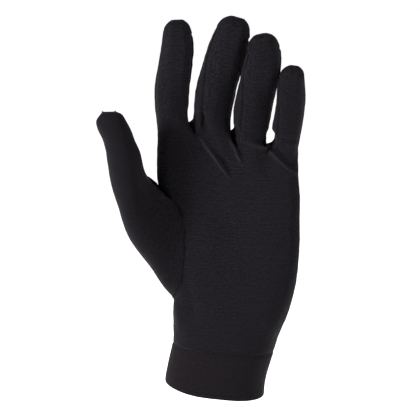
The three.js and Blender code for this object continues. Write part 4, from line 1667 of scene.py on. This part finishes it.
class NodeBench:
    """Adds and joins the nodes of one shader tree."""

    def __init__(self, tree: bpy.types.NodeTree) -> None:
        """Takes the tree that the nodes go into."""
        self.tree = tree

    def add(self, kind: str, **values: object) -> bpy.types.Node:
        """Adds a node and sets its plain properties.

        Args:
            kind: The node's type.
            **values: The properties to set, by name.

        Returns:
            The node.
        """
        node = self.tree.nodes.new(kind)
        for key, value in values.items():
            setattr(node, key, value)
        return node

    def math(self, operation: str, a: object, b: object = 0.0, c: object = 0.0) -> bpy.types.NodeSocket:
        """Adds a Math node.

        Args:
            operation: The node's operation.
            a: Its first value, a number or a socket.
            b: Its second value.
            c: Its third value.

        Returns:
            The node's output.
        """
        node = self.add("ShaderNodeMath", operation=operation)
        for socket, value in zip(node.inputs, (a, b, c)):
            self.put(socket, value)
        return node.outputs[0]

    def put(self, socket: bpy.types.NodeSocket, value: object) -> None:
        """Sets a socket to a value or joins it to another socket.

        Args:
            socket: The socket to set.
            value: A value of the socket's kind, or a socket.
        """
        if isinstance(value, bpy.types.NodeSocket):
            self.tree.links.new(value, socket)
        else:
            socket.default_value = value

    def noise(
        self, place: bpy.types.NodeSocket, scale: float, detail: float = 2.0, roughness: float = 0.5
    ) -> bpy.types.NodeSocket:
        """Adds a Noise Texture node.

        Args:
            place: The socket that gives the place to read it at.
            scale: How fine the noise is.
            detail: How many finer layers it has.
            roughness: How strong the finer layers are.

        Returns:
            The noise, from 0 to 1.
        """
        node = self.add("ShaderNodeTexNoise")
        values = (("Vector", place), ("Scale", scale), ("Detail", detail), ("Roughness", roughness))
        for name, value in values:
            self.put(node.inputs[name], value)
        return node.outputs["Fac"]

    def blend(self, share: bpy.types.NodeSocket, low: object, high: object) -> bpy.types.NodeSocket:
        """Adds a Mix node for colours.

        Args:
            share: How much of the second colour shows.
            low: The first colour, as a socket or as red, green and blue.
            high: The second colour.

        Returns:
            The mixed colour.
        """
        node = self.add("ShaderNodeMix", data_type="RGBA")
        self.put(node.inputs["Factor"], share)
        sockets = [socket for socket in node.inputs if socket.type == "RGBA"]
        for socket, colour in zip(sockets, (low, high)):
            self.put(socket, colour if isinstance(colour, bpy.types.NodeSocket) else (*colour, 1.0))
        return next(socket for socket in node.outputs if socket.type == "RGBA")

    def relief(self, height: bpy.types.NodeSocket, strength: float, distance: float) -> bpy.types.NodeSocket:
        """Adds a Bump node.

        Args:
            height: The pattern's height.
            strength: How much the bump shows.
            distance: How high the pattern is, in metres.

        Returns:
            The normal.
        """
        node = self.add("ShaderNodeBump")
        for name, value in (("Strength", strength), ("Distance", distance), ("Height", height)):
            self.put(node.inputs[name], value)
        return node.outputs["Normal"]


@dataclass(frozen=True)
class KnitPattern:
    """A fine knit as a shader node group: columns of loops, faint wavy courses and soft uneven tone.

    Attributes:
        loop_lean: How far the loops lean beside their column, in radians.
        loop_share: How much a loop shows beside its column.
        drift_scale: How fine the drift of the courses is.
        drift_detail: How many finer layers the drift has.
        drift_bend: How far the drift bends the courses, in radians.
        sway_pace: How fast the courses sway across the cloth, in radians per centimetre.
        patch_scale: How fine the patches are in which the courses show.
        patch_gain: How much the patches change the courses' strength.
        patch_loss: What is taken off that strength everywhere.
        mottle_scale: How fine the uneven tone is.
        mottle_detail: How many finer layers it has.
        mottle_roughness: How strong those layers are.
        course_height: How much the courses lift the cloth.
        course_tone: How much they lighten it.
        loop_tone: How much the loops lighten it.
    """

    loop_lean: float = 1.4
    loop_share: float = 0.35
    drift_scale: float = 1.6
    drift_detail: float = 3.0
    drift_bend: float = 8.0
    sway_pace: float = 4.0
    patch_scale: float = 2.3
    patch_gain: float = 3.2
    patch_loss: float = -0.8
    mottle_scale: float = 9.0
    mottle_detail: float = 5.0
    mottle_roughness: float = 0.75
    course_height: float = 0.3
    course_tone: float = 0.18
    loop_tone: float = 0.15

    def group(self) -> bpy.types.NodeTree:
        """Makes the node group.

        Returns:
            The group, which reads a place in centimetres and puts out Height and Tone.
        """
        tree = bpy.data.node_groups.new("fine_knit", "ShaderNodeTree")
        tree.interface.new_socket("Knit", in_out="INPUT", socket_type="NodeSocketVector")
        for name in ("Loops", "Courses", "Course Wave", "Course Strength", "Uneven"):
            tree.interface.new_socket(name, in_out="INPUT", socket_type="NodeSocketFloat")
        for name in ("Height", "Tone"):
            tree.interface.new_socket(name, in_out="OUTPUT", socket_type="NodeSocketFloat")
        bench = NodeBench(tree)
        source, result = bench.add("NodeGroupInput"), bench.add("NodeGroupOutput")
        place = source.outputs["Knit"]
        split = bench.add("ShaderNodeSeparateXYZ")
        bench.put(split.inputs[0], place)
        across, along = split.outputs["X"], split.outputs["Y"]
        loops = self._loops(bench, across, along, source.outputs["Loops"])
        course = self._courses(bench, across, along, source)
        mottle = bench.noise(place, self.mottle_scale, self.mottle_detail, self.mottle_roughness)
        cloud = bench.math("MULTIPLY", bench.math("SUBTRACT", mottle, 0.5), source.outputs["Uneven"])
        height = bench.math("MULTIPLY_ADD", course, self.course_height, loops)
        tone = bench.math("MULTIPLY_ADD", loops, self.loop_tone, cloud)
        tone = bench.math("MULTIPLY_ADD", course, self.course_tone, tone)
        bench.put(result.inputs["Height"], height)
        bench.put(result.inputs["Tone"], tone)
        return tree

    def _turns(
        self, bench: NodeBench, place: bpy.types.NodeSocket, count: bpy.types.NodeSocket
    ) -> bpy.types.NodeSocket:
        """The angle of a wave that comes count times per centimetre."""
        return bench.math("MULTIPLY", bench.math("MULTIPLY", place, count), math.tau)

    def _loops(
        self,
        bench: NodeBench,
        across: bpy.types.NodeSocket,
        along: bpy.types.NodeSocket,
        count: bpy.types.NodeSocket,
    ) -> bpy.types.NodeSocket:
        """Adds the columns of loops.

        Args:
            bench: The bench of the group's tree.
            across: The place across the knit.
            along: The place along the knit.
            count: How many loops there are per centimetre.

        Returns:
            The loops' height.
        """
        wales, rows = self._turns(bench, across, count), self._turns(bench, along, count)
        wale = bench.math("ABSOLUTE", bench.math("SINE", bench.math("MULTIPLY", wales, 0.5)))
        lean = bench.math("MULTIPLY", bench.math("COSINE", wales), self.loop_lean)
        loop = bench.math("SINE", bench.math("ADD", rows, lean))
        return bench.math("MULTIPLY_ADD", loop, self.loop_share, wale)

    def _courses(
        self,
        bench: NodeBench,
        across: bpy.types.NodeSocket,
        along: bpy.types.NodeSocket,
        source: bpy.types.Node,
    ) -> bpy.types.NodeSocket:
        """Adds the faint wavy courses, which show in patches.

        Args:
            bench: The bench of the group's tree.
            across: The place across the knit.
            along: The place along the knit.
            source: The group's inputs.

        Returns:
            The courses' height.
        """
        place = source.outputs["Knit"]
        drift = bench.noise(place, self.drift_scale, self.drift_detail)
        bend = bench.math("MULTIPLY", drift, self.drift_bend)
        sway = bench.math("SINE", bench.math("MULTIPLY", across, self.sway_pace))
        sway = bench.math("MULTIPLY", sway, source.outputs["Course Wave"])
        courses = self._turns(bench, along, source.outputs["Courses"])
        wave = bench.math("SINE", bench.math("ADD", bench.math("ADD", courses, bend), sway))
        patch = bench.noise(place, self.patch_scale)
        strength = bench.math("MULTIPLY_ADD", patch, self.patch_gain, self.patch_loss)
        strength = bench.math("MULTIPLY", strength, source.outputs["Course Strength"])
        return bench.math("MULTIPLY", wave, strength)


@dataclass(frozen=True)
class KnitFinish:
    """A knitted cloth's finish.

    Attributes:
        name: The material's name.
        dark: The yarn's colour in the hollows.
        light: The yarn's colour on the loops.
        roughness: How matt the cloth is.
        sheen_tint: The colour of its soft sheen.
        loops: Loops per centimetre.
        courses: Faint courses per centimetre.
        course_strength: How much the courses show.
        uneven: How much the tone wanders from place to place.
        relief: The knit's height in metres.
        course_wave: How far the courses sway, in radians.
        crest_highlight_colour: A lighter colour, painted along fold crests as a highlight.
        tones: The pattern's tones that give the dark and the light colour.
        relief_share: How much of the knit's relief shows.
        shine: The weight of its plain shine.
        sheen: The weight of its sheen.
        sheen_roughness: How soft the sheen is.
    """

    name: str
    dark: tuple[float, float, float]
    light: tuple[float, float, float]
    roughness: float
    sheen_tint: tuple[float, float, float]
    loops: float
    courses: float
    course_strength: float
    uneven: float
    relief: float
    course_wave: float = 0.6
    # A lighter colour, painted along fold crests as a highlight.
    crest_highlight_colour: tuple[float, float, float] = (0.0088, 0.0076, 0.0092)
    tones: tuple[float, float] = (-0.45, 0.55)
    relief_share: float = 0.6
    shine: float = 0.015
    sheen: float = 0.02
    sheen_roughness: float = 0.4

    def material(self, group: bpy.types.NodeTree) -> bpy.types.Material:
        """Makes the material.

        Args:
            group: The knit's node group.

        Returns:
            The material, which reads the piece's UV map named knit and the attribute that holds the painted
            highlight on fold crests.
        """
        material = bpy.data.materials.new(self.name)
        material.use_nodes = True
        bench = NodeBench(material.node_tree)
        shader = material.node_tree.nodes["Principled BSDF"]
        place = bench.add("ShaderNodeUVMap", uv_map="knit")
        knit = bench.add("ShaderNodeGroup", node_tree=group)
        values = {
            "Knit": place.outputs["UV"],
            "Loops": self.loops,
            "Courses": self.courses,
            "Course Wave": self.course_wave,
            "Course Strength": self.course_strength,
            "Uneven": self.uneven,
        }
        for name, value in values.items():
            bench.put(knit.inputs[name], value)
        ramp = bench.add("ShaderNodeMapRange")
        bench.put(ramp.inputs["Value"], knit.outputs["Tone"])
        ramp.inputs["From Min"].default_value, ramp.inputs["From Max"].default_value = self.tones
        yarn = bench.blend(ramp.outputs["Result"], self.dark, self.light)
        # Lightens the colour along fold crests: a painted highlight.
        crest_highlight = bench.add("ShaderNodeAttribute", attribute_name="crest_highlight")
        bench.put(shader.inputs["Base Color"], bench.blend(crest_highlight.outputs["Fac"], yarn, self.crest_highlight_colour))
        normal = bench.relief(knit.outputs["Height"], self.relief_share, self.relief)
        bench.put(shader.inputs["Normal"], normal)
        shader.inputs["Roughness"].default_value = self.roughness
        shader.inputs["Specular IOR Level"].default_value = self.shine
        shader.inputs["Sheen Weight"].default_value = self.sheen
        shader.inputs["Sheen Roughness"].default_value = self.sheen_roughness
        shader.inputs["Sheen Tint"].default_value = (*self.sheen_tint, 1.0)
        return material


@dataclass(frozen=True)
class ThreadFinish:
    """The sewing thread's finish, a little shinier than the cloth.

    Attributes:
        name: The material's name.
        dark: The thread's colour between its strands.
        light: The thread's colour on its strands.
        roughness: How matt the thread is.
        shine: The weight of its plain shine.
        grain: How fine the strands are.
        relief: The strands' height in metres.
        relief_share: How much of that height shows.
    """

    name: str = "seam_thread"
    dark: tuple[float, float, float] = (0.00128, 0.00112, 0.00144)
    light: tuple[float, float, float] = (0.00208, 0.00182, 0.00234)
    roughness: float = 0.6
    shine: float = 0.02
    grain: float = 2500.0
    relief: float = 0.0001
    relief_share: float = 0.4

    def material(self) -> bpy.types.Material:
        """Makes the material.

        Returns:
            The material, which reads Object coordinates.
        """
        material = bpy.data.materials.new(self.name)
        material.use_nodes = True
        bench = NodeBench(material.node_tree)
        shader = material.node_tree.nodes["Principled BSDF"]
        place = bench.add("ShaderNodeTexCoord")
        strands = bench.noise(place.outputs["Object"], self.grain)
        bench.put(shader.inputs["Base Color"], bench.blend(strands, self.dark, self.light))
        bench.put(shader.inputs["Normal"], bench.relief(strands, self.relief_share, self.relief))
        shader.inputs["Roughness"].default_value = self.roughness
        shader.inputs["Specular IOR Level"].default_value = self.shine
        return material


class SoftBox(NamedTuple):
    """A soft square light: its angles in degrees, the length of its sides in metres and its power in watts.

    azimuth turns from the camera towards +X, and elevation lifts the light above the glove.
    """

    name: str
    azimuth: float
    elevation: float
    size: float
    power: float


SOFT_BOXES = (
    SoftBox("left_box", azimuth=-60.0, elevation=15.0, size=0.26, power=70.0),
    SoftBox("right_box", azimuth=58.0, elevation=24.0, size=0.45, power=28.0),
)


@dataclass
class Studio:
    """The pale floor, the soft light and the camera, in metres.

    Attributes:
        aim: The point that the camera and the lights face.
        distance: The camera's distance from it.
        elevation: The camera's angle above it, in degrees.
        frame_width: How wide a view the camera has at that point.
        sensor: The camera sensor's width, in mm.
        floor_depth: How far the floor lies below the origin.
        floor_half: Half the floor's width.
        floor_tone: How pale the floor is.
        floor_roughness: How matt the floor is.
        floor_glow: How strongly the floor glows.
        sky: The strength of the white backdrop.
        front_share: The share of it that comes from the room behind the camera.
        front_band: Between which directions towards +Y the room turns into the backdrop.
        light_distance: The lights' distance from the aim.
    """

    aim: tuple[float, float, float] = (-0.0026, -0.008, 0.12)
    distance: float = 1.05
    elevation: float = 8.0
    frame_width: float = 0.273
    sensor: float = 36.0
    floor_depth: float = 0.16
    floor_half: float = 30.0
    floor_tone: float = 0.95
    floor_roughness: float = 0.9
    floor_glow: float = 0.5
    sky: float = 1.07
    front_share: float = 0.08
    front_band: tuple[float, float] = (-0.35, 0.45)
    light_distance: float = 1.3

    def build(self) -> None:
        """Makes the floor, the lights, the white surroundings and the camera."""
        self._floor()
        self._surroundings()
        for box in SOFT_BOXES:
            self._light(box)
        self._camera()

    def _floor(self) -> None:
        """Makes a wide pale floor below the glove."""
        mesh = bpy.data.meshes.new("floor")
        half, z = self.floor_half, -self.floor_depth
        corners = [(-half, -half, z), (half, -half, z), (half, half, z), (-half, half, z)]
        mesh.from_pydata(corners, [], [(0, 1, 2, 3)])
        floor = placed("floor", mesh)
        material = bpy.data.materials.new("pale_floor")
        material.use_nodes = True
        shader = material.node_tree.nodes["Principled BSDF"]
        shader.inputs["Base Color"].default_value = (*[self.floor_tone] * 3, 1.0)
        shader.inputs["Roughness"].default_value = self.floor_roughness
        shader.inputs["Specular IOR Level"].default_value = 0.0
        shader.inputs["Emission Color"].default_value = (1.0, 1.0, 1.0, 1.0)
        shader.inputs["Emission Strength"].default_value = self.floor_glow
        mesh.materials.append(material)

    def _surroundings(self) -> None:
        """Makes the white light of the backdrop, which is dimmer from the room behind the camera."""
        world = bpy.data.worlds.new("white_room")
        world.use_nodes = True
        bench = NodeBench(world.node_tree)
        background = world.node_tree.nodes["Background"]
        background.inputs["Color"].default_value = (1.0, 1.0, 1.0, 1.0)
        place, split = bench.add("ShaderNodeTexCoord"), bench.add("ShaderNodeSeparateXYZ")
        bench.put(split.inputs[0], place.outputs["Generated"])
        level = bench.add("ShaderNodeMapRange", interpolation_type="SMOOTHSTEP")
        bench.put(level.inputs["Value"], split.outputs["Y"])
        level.inputs["From Min"].default_value, level.inputs["From Max"].default_value = self.front_band
        level.inputs["To Min"].default_value = self.sky * self.front_share
        level.inputs["To Max"].default_value = self.sky
        seen = bench.math("MULTIPLY", bench.add("ShaderNodeLightPath").outputs["Is Camera Ray"], self.sky)
        bench.put(background.inputs["Strength"], bench.math("MAXIMUM", level.outputs["Result"], seen))
        bpy.context.scene.world = world

    def _light(self, box: SoftBox) -> None:
        """Adds one soft square light that faces the glove.

        Args:
            box: The light.
        """
        data = bpy.data.lights.new(box.name, "AREA")
        data.size = box.size
        data.energy = box.power
        light = placed(box.name, data)
        turn, lift = math.radians(box.azimuth), math.radians(box.elevation)
        away = Vector((math.sin(turn) * math.cos(lift), -math.cos(turn) * math.cos(lift), math.sin(lift)))
        light.location = Vector(self.aim) + away * self.light_distance
        light.rotation_euler = (-away).to_track_quat("-Z", "Y").to_euler()

    def _camera(self) -> None:
        """Sets the camera in front of the palm, a little above the wrist, with a long lens."""
        data = bpy.data.cameras.new("camera")
        data.sensor_width = self.sensor
        data.lens = self.sensor * self.distance / self.frame_width
        camera = placed("camera", data)
        tilt = math.radians(self.elevation)
        away = Vector((0.0, -math.cos(tilt), math.sin(tilt))) * self.distance
        camera.location = Vector(self.aim) + away
        camera.rotation_euler = (-away).to_track_quat("-Z", "Y").to_euler()
        bpy.context.scene.camera = camera


HAND_KNIT = KnitFinish(
    name="hand_knit",
    dark=(0.0008, 0.0007, 0.0009),
    light=(0.0046, 0.0039, 0.0052),
    roughness=0.6,
    sheen_tint=(0.8, 0.75, 0.85),
    loops=20.0,
    courses=4.6,
    course_strength=1.0,
    uneven=8.0,
    relief=0.0002,
)
THUMB_KNIT = KnitFinish(
    name="thumb_knit",
    dark=(0.0009, 0.0007, 0.001),
    light=(0.0047, 0.0038, 0.0052),
    roughness=0.6,
    sheen_tint=(0.85, 0.75, 0.85),
    loops=20.0,
    courses=6.0,
    course_strength=0.25,
    uneven=6.0,
    relief=0.0002,
)
CUFF_KNIT = KnitFinish(
    name="cuff_knit",
    dark=(0.0009, 0.0007, 0.0009),
    light=(0.0047, 0.0038, 0.005),
    roughness=0.64,
    sheen_tint=(0.85, 0.75, 0.8),
    loops=16.0,
    courses=4.0,
    course_strength=0.6,
    uneven=3.5,
    relief=0.00025,
)


@dataclass
class GloveLiner:
    """The whole glove liner: its sewn hand, its cuff band and the thread in its seams.

    Attributes:
        sizes: The hand's sizes.
        seams: How the cloth lies beside its seams.
        fine_levels: How often each face of the hand's cage is split in four.
    """

    sizes: HandSizes = field(default_factory=HandSizes)
    seams: SeamStyle = field(default_factory=SeamStyle)
    fine_levels: int = 3
    quick_levels: int = 2

    def build(self) -> None:
        """Builds and dresses every piece, and sets it on the frame."""
        group = KnitPattern().group()
        hand_cloth, thumb_cloth = HAND_KNIT.material(group), THUMB_KNIT.material(group)
        hand = SewnHand(self.sizes, self.seams, self.fine_levels)
        hand.build()
        for piece, made in hand.objects.items():
            self._dress(made, thumb_cloth if piece is Piece.THUMB else hand_cloth, piece)
        band = CuffBand(self.sizes).build()
        self._dress(band, CUFF_KNIT.material(group), Piece.CUFF)
        lines = hand.skin.points + hand.normals * hand.stitch_lift
        thread = ThreadFinish().material()
        stitches = SeamStitches().build("seam_stitches", lines, hand.normals, hand.seam_pairs, thread)
        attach(stitches, "root")
        LOG.info("%s: %d faces", stitches.name, len(stitches.data.polygons))

    def _dress(self, made: bpy.types.Object, material: bpy.types.Material, piece: Piece) -> None:
        """Gives a piece its cloth and puts it in its CAD node's place.

        Args:
            made: The piece's object.
            material: Its cloth.
            piece: Which piece it is.
        """
        made.data.materials.clear()
        made.data.materials.append(material)
        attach(made, "root")
        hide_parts(piece.value)
        area = sum(p.area for p in made.data.polygons)
        LOG.info("%s: %d faces, %.4f square metres on both sides", made.name, len(made.data.polygons), area)


def main() -> None:
    """Builds the glove and the studio in order."""
    logging.basicConfig(level=logging.INFO, format="%(name)s: %(message)s")
    LOG.info("frame: %d nodes", len(FRAME["nodes"]))
    bpy.context.scene.view_settings.view_transform = "Standard"
    GloveLiner().build()
    Studio().build()


if __name__ == "__main__":
    main()
